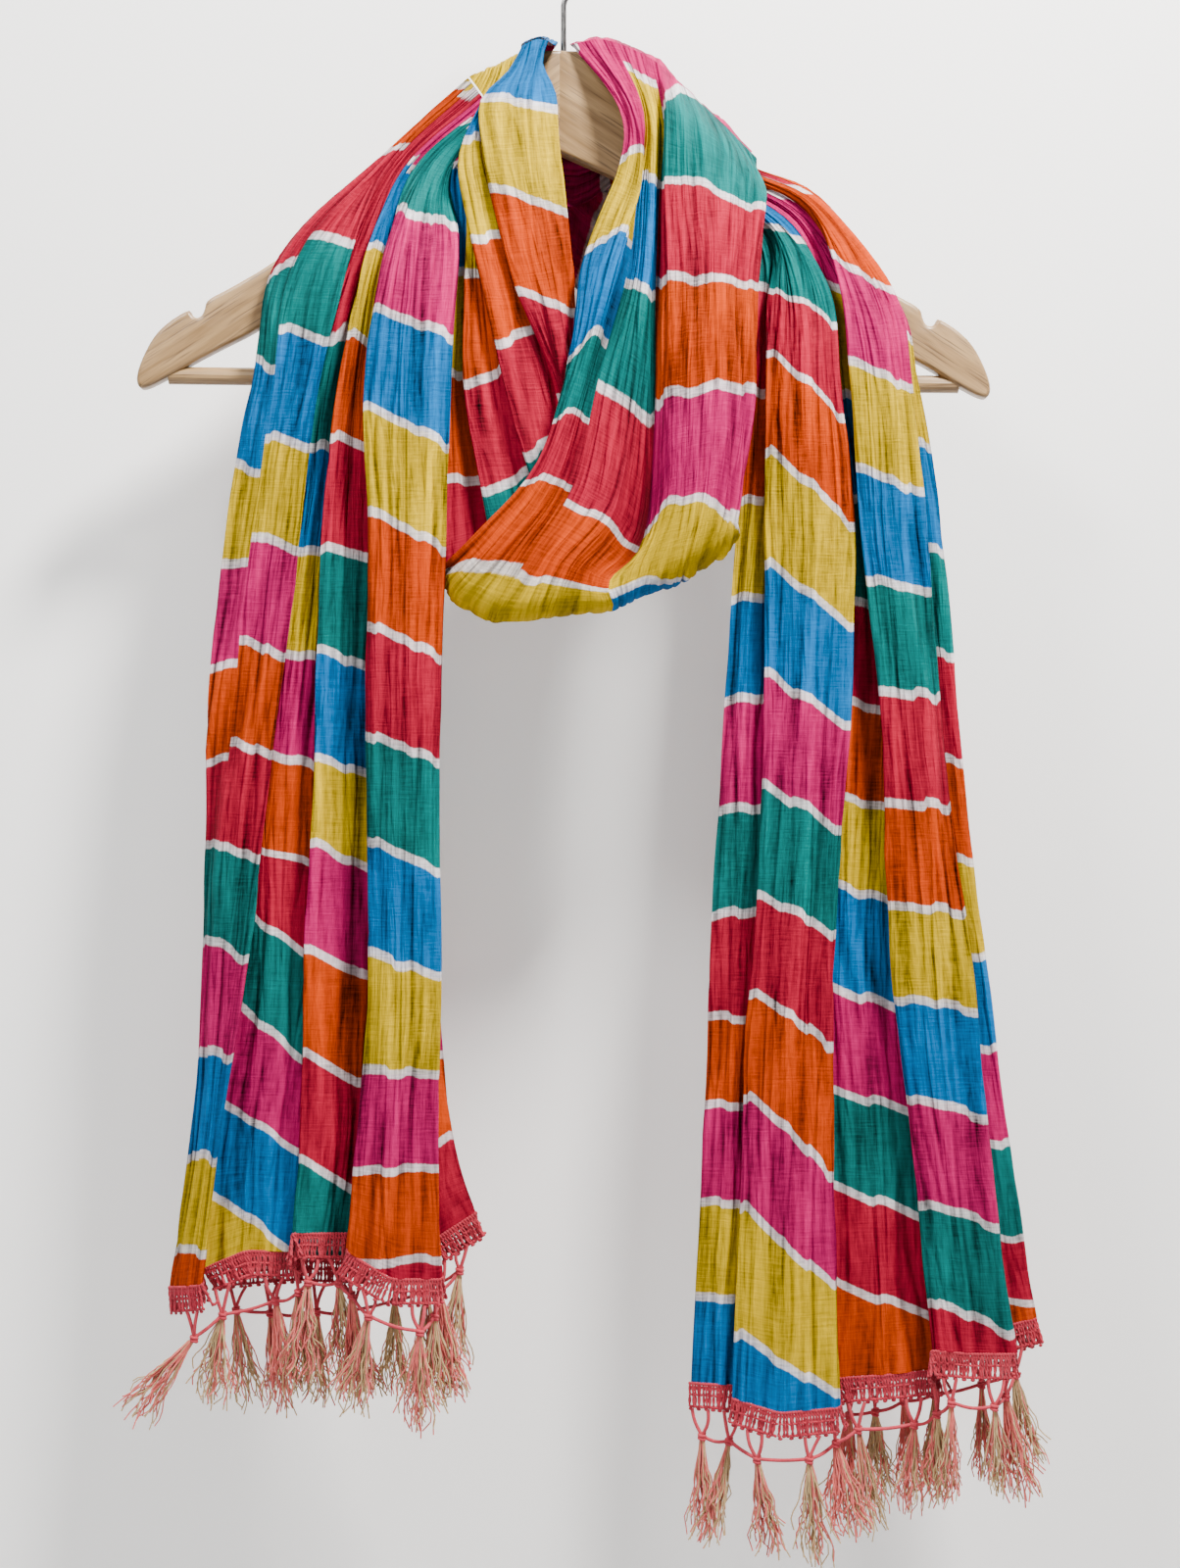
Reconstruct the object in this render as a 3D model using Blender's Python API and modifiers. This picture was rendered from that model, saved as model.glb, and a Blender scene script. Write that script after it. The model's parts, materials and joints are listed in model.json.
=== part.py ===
"""Striped crinkle dupatta looped like a scarf over a wooden coat hanger.

Metres, +Z up, the front faces -Y. The origin is the inside top of the hook, where a rail
carries the hanger. The cloth is built stretch by stretch as thin pleated walls.
"""

from collections import namedtuple
import math

import bmesh
import bpy
import numpy as np

# Tables below are in millimetres, and the meshes in metres.
MM = 0.001

# Driving sizes
WOOD_TOP = -75.5  # top of the wood below the inside of the hook
WOOD_THICK = 12.0
WOOD_MIDDLE = 52.5  # height of the wood at the joint
BAR_RADIUS = 4.6
BAR_HEIGHT = -246.5
BAR_HALF = 206.0
SOCKET_START = 150.0  # where the bar's socket starts, inside the arm
SOCKET_GAP = 0.3
TILT = 0.0115  # how much lower the hanger hangs for each millimetre to the right
WIRE_RADIUS = 1.5
HOOK_RADIUS = 19.0  # inside of the hook's curve
STEM_GAP = 0.3  # between the stem and the top of the wood
STEM_TOP = -50.0
SIDE_STEP = ((2.5, -45.5), (8.0, -40.0), (14.0, -34.5))  # from the stem out to the hook's curve, x and z
HOOK_TURN = (-30, 201, 15)  # from, to and step of the curve, in degrees
CLOTH_WALL = 1.0
FOLD_REACH = 4.0  # how far from its crest a fold starts to bend
STRAND_REACH = 5.0
SEAM = 0.6  # open space between two pieces of cloth that meet
LACE_HEIGHT = 14.0
LACE_WALL = 1.2
STRIP_HEIGHT = 3.0
TIE_DROP = 11.0
KNOT_SIZE = 3.2
TASSEL_LENGTH = 44.0
TASSEL_PITCH = 17.0
TASSEL_WIDTH = 6.0
TASSEL_THICK = 3.0
TASSEL_CLEAR = 7.5  # least distance between the middles of two tassels
TASSEL_ROOM = 7.0  # shortest straight stretch of the hem that carries a tassel
TASSEL_SPANS = 4  # spans of the strip that carry one tassel
TASSEL_SHAPE = ((0.35, 0.6), (0.8, 1.0), (1.0, 0.5))  # share of its length, and of its width there

# The tables are drawn in the plane of the hanger as seen from this eye. A point that stands
# in front of that plane is drawn in towards the eye's line by as much as it is nearer.
EYE_X = 14.0
EYE_AWAY = 1400.0
EYE_Z = -457.0

# A fold of a hanging end: where it starts to drop from the arm (x, z, depth in front of the
# hanger's middle plane), x at six heights, the hem's x and z, and the depth it hangs at.
Fold = namedtuple("Fold", "name shoulder drop x250 x320 x400 x480 x560 x640 hem depth")
LEVELS = (-250.0, -320.0, -400.0, -480.0, -560.0, -640.0)
END_STEPS = (2, 2, 2, 1, 1, 1, 1, 1, 1)  # rows between neck, shoulder, drop, the levels and hem

LEFT_FOLDS = tuple(Fold(*row) for row in (
    ("a_edge", (-90, -124, 10), (-149, -181, 13), -164, -176, -185, -187, -190, -195, (-206, -720), 24),
    ("a_step", (-90, -127.5, 15), (-139, -181, 24), -152, -162, -171, -179, -184, -189, (-200, -720), 32),
    ("a_lip", (-88.5, -131, 18.5), (-110, -182, 36), -126, -135, -145, -155, -165, -178, (-188, -719), 42),
    ("ab_tuck", (-86.5, -131.5, 15), (-117, -182, 24), -136, -146, -155, -165, -173, -184, (-190, -711), 27),
    ("b_ridge", (-85.5, -133.5, 17.5), (-106, -182, 30), -124, -133, -144, -152, -154, -161, (-166, -701), 33),
    ("b_tuck", (-83.5, -134, 15), (-99, -182, 24), -111, -117, -119, -121, -124, -129, (-136, -702), 27),
    ("c_edge", (-83.5, -137, 20), (-105, -182, 37), -119, -127, -131, -133, -137, -140, (-143, -692), 43),
    ("c_tuck", (-79.5, -136, 17), (-87, -182, 30), -96, -95, -96, -96, -97, -100, (-107, -692), 35),
    ("d_edge", (-77.5, -137, 23), (-96, -182, 48), -106, -104, -105, -105, -104, -110, (-114, -701), 56),
    ("d_swell", (-68, -138, 27), (-76, -182, 55), -82, -82, -84, -85, -84, -88, (-90, -716), 61),
    ("d_lip", (-59, -142, 25), (-56, -182, 45), -59, -61, -63, -65, -64, -66, (-63, -716), 52),
    ("e_tuck", (-62, -146, 18), (-71, -182, 31), -75, -78, -81, -82, -80, -79, (-75, -700), 37),
    ("e_edge", (-60, -150, 14), (-66, -182, 23), -68, -69, -70, -70, -64, -56, (-44, -680), 29),
    ("rear_1", (-68, -145, 10), (-86, -182, 14), -93, -97, -100, -101, -101, -100, (-98, -706), 15),
    ("rear_2", (-77, -138, 9.5), (-106, -182, 11), -119, -125, -129, -132, -136, -140, (-140, -704), 12),
    ("rear_3", (-84, -131, 9.5), (-128, -182, 12), -146, -153, -160, -166, -170, -176, (-178, -707), 17),
))

RIGHT_FOLDS = tuple(Fold(*row) for row in (
    ("r1_edge", (101, -177, 14), (103, -215, 18), 101, 93, 85, 80, 76, 73, (66, -770), 24),
    ("r1_crease", (103.5, -175, 17), (106, -214, 25), 103, 100, 95, 93, 90, 87, (80, -771), 31),
    ("r1_tuck", (106, -173, 15), (114, -212, 20), 113, 112, 111, 108, 104, 100, (96, -772), 26),
    ("r2_edge", (108, -171, 19), (106, -206, 33), 105, 104, 104, 101, 96, 92, (87, -778), 40),
    ("r2_swell", (113, -169, 23), (124, -204, 39), 126, 127, 126, 123, 118, 116, (113, -786), 47),
    ("r2_lip", (119, -167, 21), (141, -202, 34), 146, 153, 152, 146, 142, 142, (146, -783), 42),
    ("r3_tuck", (121, -164, 17), (134, -200, 22), 138, 142, 142, 138, 134, 135, (138, -768), 28),
    ("r3_fold", (124, -162, 19), (147, -202, 26), 152, 160, 163, 160, 158, 163, (168, -766), 30),
    ("r3_far", (126, -159.5, 17), (156, -201, 20), 163, 171, 175, 176, 180, 190, (198, -763), 27),
    ("r4_edge", (127, -157, 21), (143, -200, 40), 149, 154, 162, 167, 171, 180, (191, -753), 47),
    ("r4_swell", (131, -155.5, 24), (158, -202, 43), 168, 172, 180, 187, 194, 201, (213, -755), 51),
    ("r4_lip", (135, -154, 21), (173, -200, 38), 184, 191, 198, 206, 217, 223, (238, -755), 44),
    ("r5_tuck", (134, -151, 16), (167, -198, 26), 176, 180, 186, 192, 203, 210, (224, -742), 33),
    ("r5_edge", (131, -149, 12.5), (176, -203, 16), 188, 199, 205, 213, 223, 233, (249, -736), 27),
    ("rear_1", (121, -156, 9.5), (150, -202, 11), 160, 164, 170, 174, 182, 192, (206, -748), 17),
    ("rear_2", (112, -165, 9), (128, -206, 11), 132, 132, 132, 132, 132, 136, (140, -762), 12),
))

# The two lines, (x, z, depth) from and to, along which the folds of each end are bunched
# where it comes over the arm: its front folds first, and then its rear folds.
LEFT_NECK = ((-50, -88.5, 12), (-34, -110, 15), (-43, -98, 8.8))
RIGHT_NECK = ((77, -152, 17), (98, -134, 13), (90, -151, 9))
REAR_FOLDS = 3
REAR_RIPPLE = 1.0  # how much every other rear fold lies further back there

# Sections of the loop's left half, from the top of the hanger to the tuck behind the
# crossing front. A row is a section, and each column holds (x, z, depth) of one fold.
Loop_left = namedtuple(
    "Loop_left", "c1_in c1_mid c1_out c2_tuck c2_edge c3_tuck c3_edge far_tuck far_edge"
)
LEFT_LOOP_STEPS = (2, 1, 1, 2, 2, 2, 1)  # rows between the sections
LEFT_LOOP = (
    Loop_left((-8, -69, 19), (-14, -68, 22), (-23, -72, 23), (-19, -74, 20), (-23, -76, 19),
              (-17, -78.5, 16), (-22, -81, 15.5), (-15, -83, 12.5), (-19, -86, 11.5)),
    Loop_left((-4, -97, 27), (-22, -98, 38), (-45, -100, 36), (-37, -102, 30), (-46, -104, 32),
              (-36, -106, 26), (-43, -108, 27.5), (-33, -110, 21.5), (-38, -113, 21)),
    Loop_left((-2, -124, 31), (-20, -124, 43), (-43, -125, 41), (-36, -126, 34), (-56, -127, 38),
              (-45, -129, 29), (-52, -130.5, 30.5), (-43, -132, 24), (-49, -134, 24)),
    Loop_left((1, -150, 34), (-16, -151, 47), (-38, -153, 45), (-29, -154, 38), (-53, -154, 42),
              (-43, -156, 34), (-52, -157, 36), (-46, -159, 29), (-55.5, -162, 30)),
    Loop_left((6, -195, 38), (-8, -197, 50), (-26, -199, 48), (-16, -200, 41), (-43, -200, 46),
              (-32, -202, 37), (-54, -202, 40), (-46, -204, 31), (-62, -207, 33)),
    Loop_left((9, -245, 38), (2, -246, 49), (-6, -247, 49), (-3, -248, 42), (-33, -248, 47),
              (-22, -250, 38), (-54, -250, 42), (-45, -252, 32), (-63.5, -254, 35)),
    Loop_left((14, -292, 39), (9, -293, 47), (4, -293, 49), (4, -294, 43), (-20, -294, 47),
              (-12, -295, 38), (-46, -296, 43), (-39, -297, 32), (-64, -300, 36)),
    Loop_left((20, -322, 38), (14, -323, 44), (9, -324, 46), (9, -325, 41), (-8, -325, 44),
              (-6, -326, 37), (-37, -328, 41), (-34, -329, 32), (-62, -334, 36)),
)

# Sections of the loop's right half, from the top of the hanger down the wide front band
# and round under the bottom of the loop.
Loop_right = namedtuple(
    "Loop_right",
    "lapel lapel_fold valley strand band_tuck band_edge band_a band_b band_edge_2 under_edge",
)
RIGHT_LOOP_STEPS = (2, 2, 2, 2, 2, 2, 2, 1, 1, 1)
RIGHT_LOOP = (
    Loop_right((8, -70, 9.8), (18, -69.2, 10.6), (26, -70.6, 10.2), (36, -74.4, 10.5), (46, -79.8, 10.3),
               (51, -83, 11), (62, -93, 11.5), (80, -110.4, 13.5), (96, -126.4, 14.4), (101, -131.5, 14)),
    Loop_right((29, -104, 25), (38, -103, 34), (42, -107, 26), (46, -109, 35), (53, -114, 28),
               (53, -104, 42), (68, -113, 45), (89, -126, 43), (106, -146, 38), (100, -157, 30)),
    Loop_right((29, -132, 34), (41, -140, 44), (38, -147, 35), (47, -145, 47), (50, -151, 38),
               (53, -150, 54), (70, -148, 61), (90, -150, 59), (107, -158, 50), (98, -164, 38)),
    Loop_right((9, -186, 48), (27, -182, 59), (33, -191, 49), (44, -194, 61), (48, -200, 50),
               (55, -196, 66), (72, -194, 72), (87, -195, 70), (103, -199, 58), (92, -204, 42)),
    Loop_right((2, -235, 56), (13, -236, 66), (19, -241, 57), (37, -253, 68), (48, -262, 56),
               (54, -254, 71), (70, -250, 78), (86, -248, 76), (101, -253, 63), (88, -257, 46)),
    Loop_right((-14, -289, 62), (-8, -297, 71), (5, -301, 64), (26, -312, 74), (42, -330, 60),
               (53, -311, 73), (67, -308, 80), (81, -306, 78), (93, -314, 65), (83, -316, 53)),
    Loop_right((-41, -325, 62), (-34, -334, 71), (-17, -336, 68), (2, -343, 76), (24, -352, 67),
               (44, -343, 71), (61, -338, 77), (75, -334, 75), (92, -323, 65), (90, -321, 57)),
    Loop_right((-57, -344, 56), (-55, -357, 62), (-36, -368, 65), (-8, -367, 70), (26, -364, 66),
               (41, -357, 67), (58, -351, 70), (73, -343, 67), (91, -329, 58), (92, -326, 53)),
    Loop_right((-57, -349, 48), (-55, -363, 50), (-37, -374, 50), (-9, -371, 51), (24, -368, 51),
               (41, -360, 54), (57, -355, 55), (72, -347, 54), (88, -334, 50), (91, -329.5, 46.5)),
    Loop_right((-54, -341, 41), (-50, -353, 38), (-34, -363, 36), (-8, -359, 37), (22, -357, 39),
               (38, -351, 41), (53, -346, 42), (66, -339, 42), (81, -330, 42), (85, -325.5, 39.5)),
    Loop_right((-48, -336, 33), (-44, -338, 29), (-30, -341, 27), (-8, -339, 27), (18, -338, 29),
               (32, -335, 31), (45, -332, 33), (56, -328, 34), (68, -322, 35), (72, -318, 32.5)),
)

# Sections of the two stretches that cross behind the neck, from the left of the hanger to
# its right. A row is a section, and a column is a fold that runs along the strand.
Strand = namedtuple("Strand", "edge_1 ridge_1 hollow_1 ridge_2 hollow_2 ridge_3 edge_2")
STRAND_ROWS = 2  # rows between two sections
# From the loop's left half, over the arm, behind the neck and on to the right hanging end.
LOOP_STRAND = (
    Strand((-8, -68, 17.9), (-10.5, -67.5, 18.9), (-13, -67.2, 20.2), (-15.5, -67.8, 21), (-18, -69, 21.3),
           (-20.5, -70.2, 21.8), (-22.5, -71.2, 22)),
    Strand((-6, -67.5, 4), (-8.5, -67, 4), (-11, -67, 4), (-13.5, -67.3, 4), (-16, -68, 4),
           (-18.5, -69, 4), (-21, -70.5, 4)),
    Strand((-5, -69, -12), (-8, -69.5, -13), (-11, -70.5, -12), (-14, -72, -13), (-17, -74, -12),
           (-20, -76.5, -13), (-22.5, -79, -12)),
    Strand((-5, -77, -21), (-8, -89, -27), (-11, -101, -22), (-14, -114, -28), (-16, -127, -23),
           (-18, -140, -28), (-19, -152, -22)),
    Strand((19, -88, -27), (18, -106, -33), (16, -124, -27), (14, -143, -34), (12, -162, -27),
           (10, -182, -33), (8, -200, -26)),
    Strand((46, -134, -21), (44, -143, -25), (42, -152, -21), (40, -161, -25), (38, -171, -21),
           (36, -181, -25), (34, -190, -21)),
    Strand((68, -146, -12), (67, -150, -15), (66.5, -154, -12), (66, -158, -15), (65.5, -162, -12),
           (65, -167, -15), (64, -172, -12)),
    Strand((72, -131, -9.5), (76, -134, -11), (80, -138, -9.5), (84, -142, -11), (88, -146, -9.5),
           (92, -150, -11), (96, -154, -9.5)),
    Strand((72, -121, 0), (76, -124, 0), (80, -127, 0), (84, -130, 0), (88, -133, 0), (92, -136, 0),
           (96, -139, 0)),
    Strand((73, -128, 10), (77, -129.5, 10), (81, -131, 10), (85, -132.5, 10), (89, -134, 10),
           (93, -135, 10), (96, -136, 10)),
    Strand((76.4, -151.4, 17), (79.9, -148.4, 16.3), (83.4, -145.4, 15.7), (86.9, -142.4, 15),
           (90.3, -139.4, 14.3), (93.6, -136.5, 13.7), (96.4, -134, 13)),
)
# From the left hanging end, over the arm, behind the neck and on to the loop's right half.
TAIL_STRAND = (
    Strand((-33.3, -109.4, 15), (-36, -105.8, 14.5), (-38.6, -102.3, 14), (-41.3, -98.7, 13.5),
           (-44, -95.1, 13), (-46.6, -91.5, 12.5), (-49.3, -88, 12)),
    Strand((-24.5, -83, 10.4), (-28.5, -85.5, 10.2), (-32.5, -87.5, 9.6), (-36.5, -87.5, 9.4), (-40, -87, 9),
           (-43.5, -86.5, 9), (-47, -86.5, 9)),
    Strand((-22, -74.5, 0), (-26, -76.5, 0), (-30, -79, 0), (-34, -81, 0), (-38, -83, 0), (-42, -85.5, 0),
           (-46, -88, 0)),
    Strand((-16, -78.5, -9.5), (-20.5, -83, -10.5), (-25, -87, -9), (-29, -91, -10), (-33, -94.5, -9),
           (-37, -98, -10), (-41, -101, -9)),
    Strand((-8, -86, -10), (-10, -95, -15), (-13, -104, -10), (-16, -113, -15), (-19, -122, -10),
           (-22, -131, -15), (-25, -138, -10)),
    Strand((14, -86, -11), (13, -97, -16), (12, -109, -11), (11, -121, -16), (9, -133, -11),
           (7, -145, -16), (5, -156, -11)),
    Strand((14, -77, -12), (21, -85, -16), (28, -94, -12), (34, -103, -16), (40, -112, -12),
           (45, -120, -16), (49, -128, -12)),
    Strand((11, -72, -13), (22, -75, -16), (34, -81, -13), (48, -91, -16), (62, -103, -13),
           (76, -117, -16), (89, -131, -12)),
    Strand((8, -67.5, -3), (19, -66.8, -3), (33, -70, -3), (48, -77.5, -3), (62, -92, -3),
           (80, -108, -3), (98, -127, -3)),
    Strand((8, -69, 9), (18, -68.2, 9.7), (31, -71, 9.4), (48, -79.8, 9.6), (61, -91.4, 10.5),
           (80, -109.4, 12.5), (98, -127.6, 13.3)),
)

# One arm of the hanger from its middle joint: the upper edge with its strap notch, the
# rounded end, and the lower edge back to the joint, as (distance from the middle, z).
ARM_OUTLINE = (
    (12, -75.8), (20, -79), (27, -85.3), (33, -93.5), (40, -101), (60, -117), (88, -139),
    (120, -164.5), (152, -188.5), (175, -202), (186, -207.5), (187, -213), (189, -216.5),
    (192, -217), (194, -214.5), (195, -212.5), (205, -218.5), (213, -226), (219, -237),
    (222.5, -247), (222, -252.5), (219, -254.5), (207, -248.5), (187, -236.5), (155, -220.5),
    (24, -140),
)
JOINT_X = -2.0  # the joint lies a little left of the hook


def seen(point):
    """Real place, in metres, of a table's (x, z, depth in front of the hanger)."""
    x, z, depth = point
    share = (EYE_AWAY - depth) / EYE_AWAY
    return (MM * (EYE_X + (x - EYE_X) * share), -MM * depth, MM * (EYE_Z + (z - EYE_Z) * share))


def finish(name, base_colour, roughness=0.75, metallic=0.0):
    """Plain Principled material."""
    material = bpy.data.materials.new(name)
    material.use_nodes = True
    shader = material.node_tree.nodes["Principled BSDF"]
    shader.inputs["Base Color"].default_value = (*base_colour, 1.0)
    shader.inputs["Roughness"].default_value = roughness
    shader.inputs["Metallic"].default_value = metallic
    return material


def add_mesh(name, points, faces, material, home):
    mesh = bpy.data.meshes.new(name)
    mesh.from_pydata([tuple(point) for point in points], [], faces)
    mesh.update()
    mesh.materials.append(material)
    piece = bpy.data.objects.new(name, mesh)
    home.objects.link(piece)
    return piece


def smooth_along(stations, steps):
    """Catmull-Rom rows between the stations, `steps[i]` rows in gap i."""
    stations = np.array(stations, float)
    ends = np.concatenate(
        [2 * stations[:1] - stations[1:2], stations, 2 * stations[-1:] - stations[-2:-1]]
    )
    rows = []
    for gap, count in enumerate(steps):
        before, start, stop, after = ends[gap : gap + 4]
        for step in range(count):
            t = step / count
            rows.append(
                0.5 * (2 * start + (stop - before) * t
                       + (2 * before - 5 * start + 4 * stop - after) * t**2
                       + (3 * start - before - 3 * stop + after) * t**3)
            )
    rows.append(stations[-1])
    return np.array(rows)


def round_across(row, reach, most=0.42):
    """Turns each fold of a section into a soft bend of three points."""
    bent = [row[0]]
    for before, fold, after in zip(row, row[1:], row[2:]):
        back, ahead = before - fold, after - fold
        back_length, ahead_length = np.linalg.norm(back), np.linalg.norm(ahead)
        leave = fold + back * min(reach / back_length, most)
        enter = fold + ahead * min(reach / ahead_length, most)
        bent += [leave, 0.25 * leave + 0.5 * fold + 0.25 * enter, enter]
    bent.append(row[-1])
    return np.array(bent)


def cloth_wall(name, grid, material, home, thick=CLOTH_WALL):
    """Closed wall of even thickness on a grid of (row, column) points in metres."""
    rows, columns = grid.shape[:2]
    faces = [
        (r * columns + c, r * columns + c + 1, (r + 1) * columns + c + 1, (r + 1) * columns + c)
        for r in range(rows - 1)
        for c in range(columns - 1)
    ]
    piece = add_mesh(name, grid.reshape(-1, 3), faces, material, home)
    wall = piece.modifiers.new("wall", "SOLIDIFY")
    wall.thickness = thick * MM
    wall.offset = 0.0
    return piece


def bunched(neck, count):
    """Folds gathered where an end comes over the arm: front folds, then rear folds."""
    start, stop, rear = (np.array(point, float) for point in neck)
    front = count - REAR_FOLDS
    folds = []
    for index in range(count):
        if index < front:
            place = start + (stop - start) * index / (front - 1)
        else:
            place = stop + (rear - stop) * (index - front + 1) / REAR_FOLDS
            place[2] = rear[2] - REAR_RIPPLE * (1 - index % 2)
        folds.append(place)
    return folds


def tail_grid(folds, neck):
    """Grid of one hanging end, in metres: rows run from the arm down to the hem."""
    stations = [bunched(neck, len(folds))]
    stations.append([fold.shoulder for fold in folds])
    stations.append([fold.drop for fold in folds])
    for index, level in enumerate(LEVELS):
        stations.append([(fold[3 + index], level, fold.depth) for fold in folds])
    stations.append([(*fold.hem, fold.depth) for fold in folds])
    return section_grid(stations, END_STEPS, FOLD_REACH)


def section_grid(sections, steps, reach):
    """Grid of a stretch, in metres, with its folds rounded."""
    rows = smooth_along(sections, steps)
    rows = [round_across(row, reach) for row in rows]
    return np.array([[seen(point) for point in row] for row in rows])


def fringe_line(hem):
    """Points along the hem, and the indices where a tassel's spans begin.

    A tassel needs a straight stretch, so the short stretches round a fold carry none.
    """
    line = []
    begins = []
    for start, stop in zip(hem, hem[1:]):
        length = np.linalg.norm(stop - start) / MM
        tassels = max(1, round(length / TASSEL_PITCH)) if length > TASSEL_ROOM else 0
        pieces = max(1, tassels * TASSEL_SPANS)
        begins += [len(line) + index * TASSEL_SPANS for index in range(tassels)]
        line += [start + (stop - start) * index / pieces for index in range(pieces)]
    line.append(hem[-1])
    return np.array(line), begins


def sideways(line):
    """Unit vectors level with the ground and square to the line."""
    along = np.gradient(line, axis=0)
    across = np.stack([along[:, 1], -along[:, 0], np.zeros(len(line))], axis=1)
    return across / np.linalg.norm(across, axis=1)[:, None]


def add_fringe(name, hem, material, home):
    """Strip under the lace with knotted ties and tassels in one body.

    Four short spans of the strip carry each tassel: a tie leaves the first and the third,
    both end in a knot, and a four-sided tassel hangs from the knot.
    """
    line, begins = fringe_line(hem)
    side = sideways(line) * LACE_WALL * MM / 2
    top = np.array([0.0, 0.0, -SEAM * MM])
    low = np.array([0.0, 0.0, -(SEAM + STRIP_HEIGHT) * MM])
    mesh = bmesh.new()
    rings = [
        [mesh.verts.new(point + offset) for offset in (edge + top, edge + low, low - edge, top - edge)]
        for point, edge in zip(line, side)
    ]
    mesh.faces.new(rings[0])
    mesh.faces.new(rings[-1][::-1])
    centres = {}
    for index in begins:
        centre = line[index : index + TASSEL_SPANS + 1].mean(axis=0)
        others = [np.linalg.norm((centre - other)[:2]) for other in centres.values()]
        if not others or min(others) > TASSEL_CLEAR * MM:
            centres[index] = centre
    tied = {index + step for index in centres for step in (0, 2)}
    for index, (ring, after) in enumerate(zip(rings, rings[1:])):
        for corner in range(4):
            # The span's underside stays open where a tie leaves it.
            if corner == 1 and index in tied:
                continue
            follow = (corner + 1) % 4
            mesh.faces.new((ring[corner], after[corner], after[follow], ring[follow]))
    for index, centre in centres.items():
        across = side[index + 2] / np.linalg.norm(side[index + 2])
        add_tassel(mesh, rings[index : index + TASSEL_SPANS], centre, across)
    bmesh.ops.recalc_face_normals(mesh, faces=mesh.faces)
    data = bpy.data.meshes.new(name)
    mesh.to_mesh(data)
    mesh.free()
    data.materials.append(material)
    piece = bpy.data.objects.new(name, data)
    home.objects.link(piece)
    return piece


def add_tassel(mesh, rings, centre, across):
    """Two ties from the strip to a knot, and the tassel below it."""
    along = np.array([across[1], -across[0], 0.0])
    if np.dot(np.array(rings[1][0].co) - np.array(rings[0][0].co), along) < 0:
        along = -along
    knot_top = centre - np.array([0.0, 0.0, (SEAM + STRIP_HEIGHT + TIE_DROP) * MM])
    half = KNOT_SIZE / 2

    def place(a, c, down):
        return mesh.verts.new(knot_top + (along * a + across * c - np.array([0.0, 0.0, down])) * MM)

    # The knot's top is two faces side by side, one for each tie.
    front = [place(a, half, 0.0) for a in (-half, 0.0, half)]
    back = [place(a, -half, 0.0) for a in (-half, 0.0, half)]
    for tie, (first, last) in enumerate(((rings[0], rings[1]), (rings[2], rings[3]))):
        upper = (first[1], last[1], last[2], first[2])
        lower = (front[tie], front[tie + 1], back[tie + 1], back[tie])
        for corner in range(4):
            follow = (corner + 1) % 4
            mesh.faces.new((upper[corner], upper[follow], lower[follow], lower[corner]))
    wide = TASSEL_WIDTH / 2
    thick = TASSEL_THICK / 2
    corners = ((-1, 1), (1, 1), (1, -1), (-1, -1))
    ring = [place(a * half, c * half, KNOT_SIZE) for a, c in corners]
    mesh.faces.new((front[0], front[1], front[2], ring[1], ring[0]))
    mesh.faces.new((back[2], back[1], back[0], ring[3], ring[2]))
    mesh.faces.new((front[2], back[2], ring[2], ring[1]))
    mesh.faces.new((back[0], front[0], ring[0], ring[3]))
    for down, spread in TASSEL_SHAPE:
        drop = KNOT_SIZE + TASSEL_LENGTH * down
        lower = [place(a * wide * spread, c * thick * spread, drop) for a, c in corners]
        for corner in range(4):
            follow = (corner + 1) % 4
            mesh.faces.new((ring[corner], ring[follow], lower[follow], lower[corner]))
        ring = lower
    mesh.faces.new(ring)


def outline_plate(name, outline, thick, material, home):
    """Flat outline in the hanger's plane, extruded to its thickness."""
    curve = bpy.data.curves.new(name, "CURVE")
    curve.dimensions = "2D"
    curve.fill_mode = "BOTH"
    curve.extrude = thick / 2 * MM
    spline = curve.splines.new("POLY")
    spline.points.add(len(outline) - 1)
    for point, (x, z) in zip(spline.points, outline):
        point.co = (x * MM, z * MM, 0.0, 1.0)
    spline.use_cyclic_u = True
    curve.materials.append(material)
    piece = bpy.data.objects.new(name, curve)
    piece.rotation_euler = (math.pi / 2, 0.0, 0.0)
    home.objects.link(piece)
    return piece


def add_wire(name, line, radius, material, home, resolution=2):
    curve = bpy.data.curves.new(name, "CURVE")
    curve.dimensions = "3D"
    curve.bevel_depth = radius * MM
    curve.bevel_resolution = resolution
    curve.use_fill_caps = True
    spline = curve.splines.new("POLY")
    spline.points.add(len(line) - 1)
    for point, place in zip(spline.points, line):
        point.co = (place[0] * MM, place[1] * MM, place[2] * MM, 1.0)
    curve.materials.append(material)
    piece = bpy.data.objects.new(name, curve)
    home.objects.link(piece)
    return piece


def as_mesh(piece):
    """Plain mesh object made from a curve, with its caps welded on."""
    graph = bpy.context.evaluated_depsgraph_get()
    data = bpy.data.meshes.new_from_object(piece.evaluated_get(graph))
    welded = bmesh.new()
    welded.from_mesh(data)
    bmesh.ops.remove_doubles(welded, verts=welded.verts, dist=1e-6)
    welded.to_mesh(data)
    welded.free()
    name, home, place = piece.name, piece.users_collection[0], piece.matrix_world.copy()
    bpy.data.objects.remove(piece)
    solid = bpy.data.objects.new(name, data)
    solid.matrix_world = place
    home.objects.link(solid)
    return solid


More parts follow.
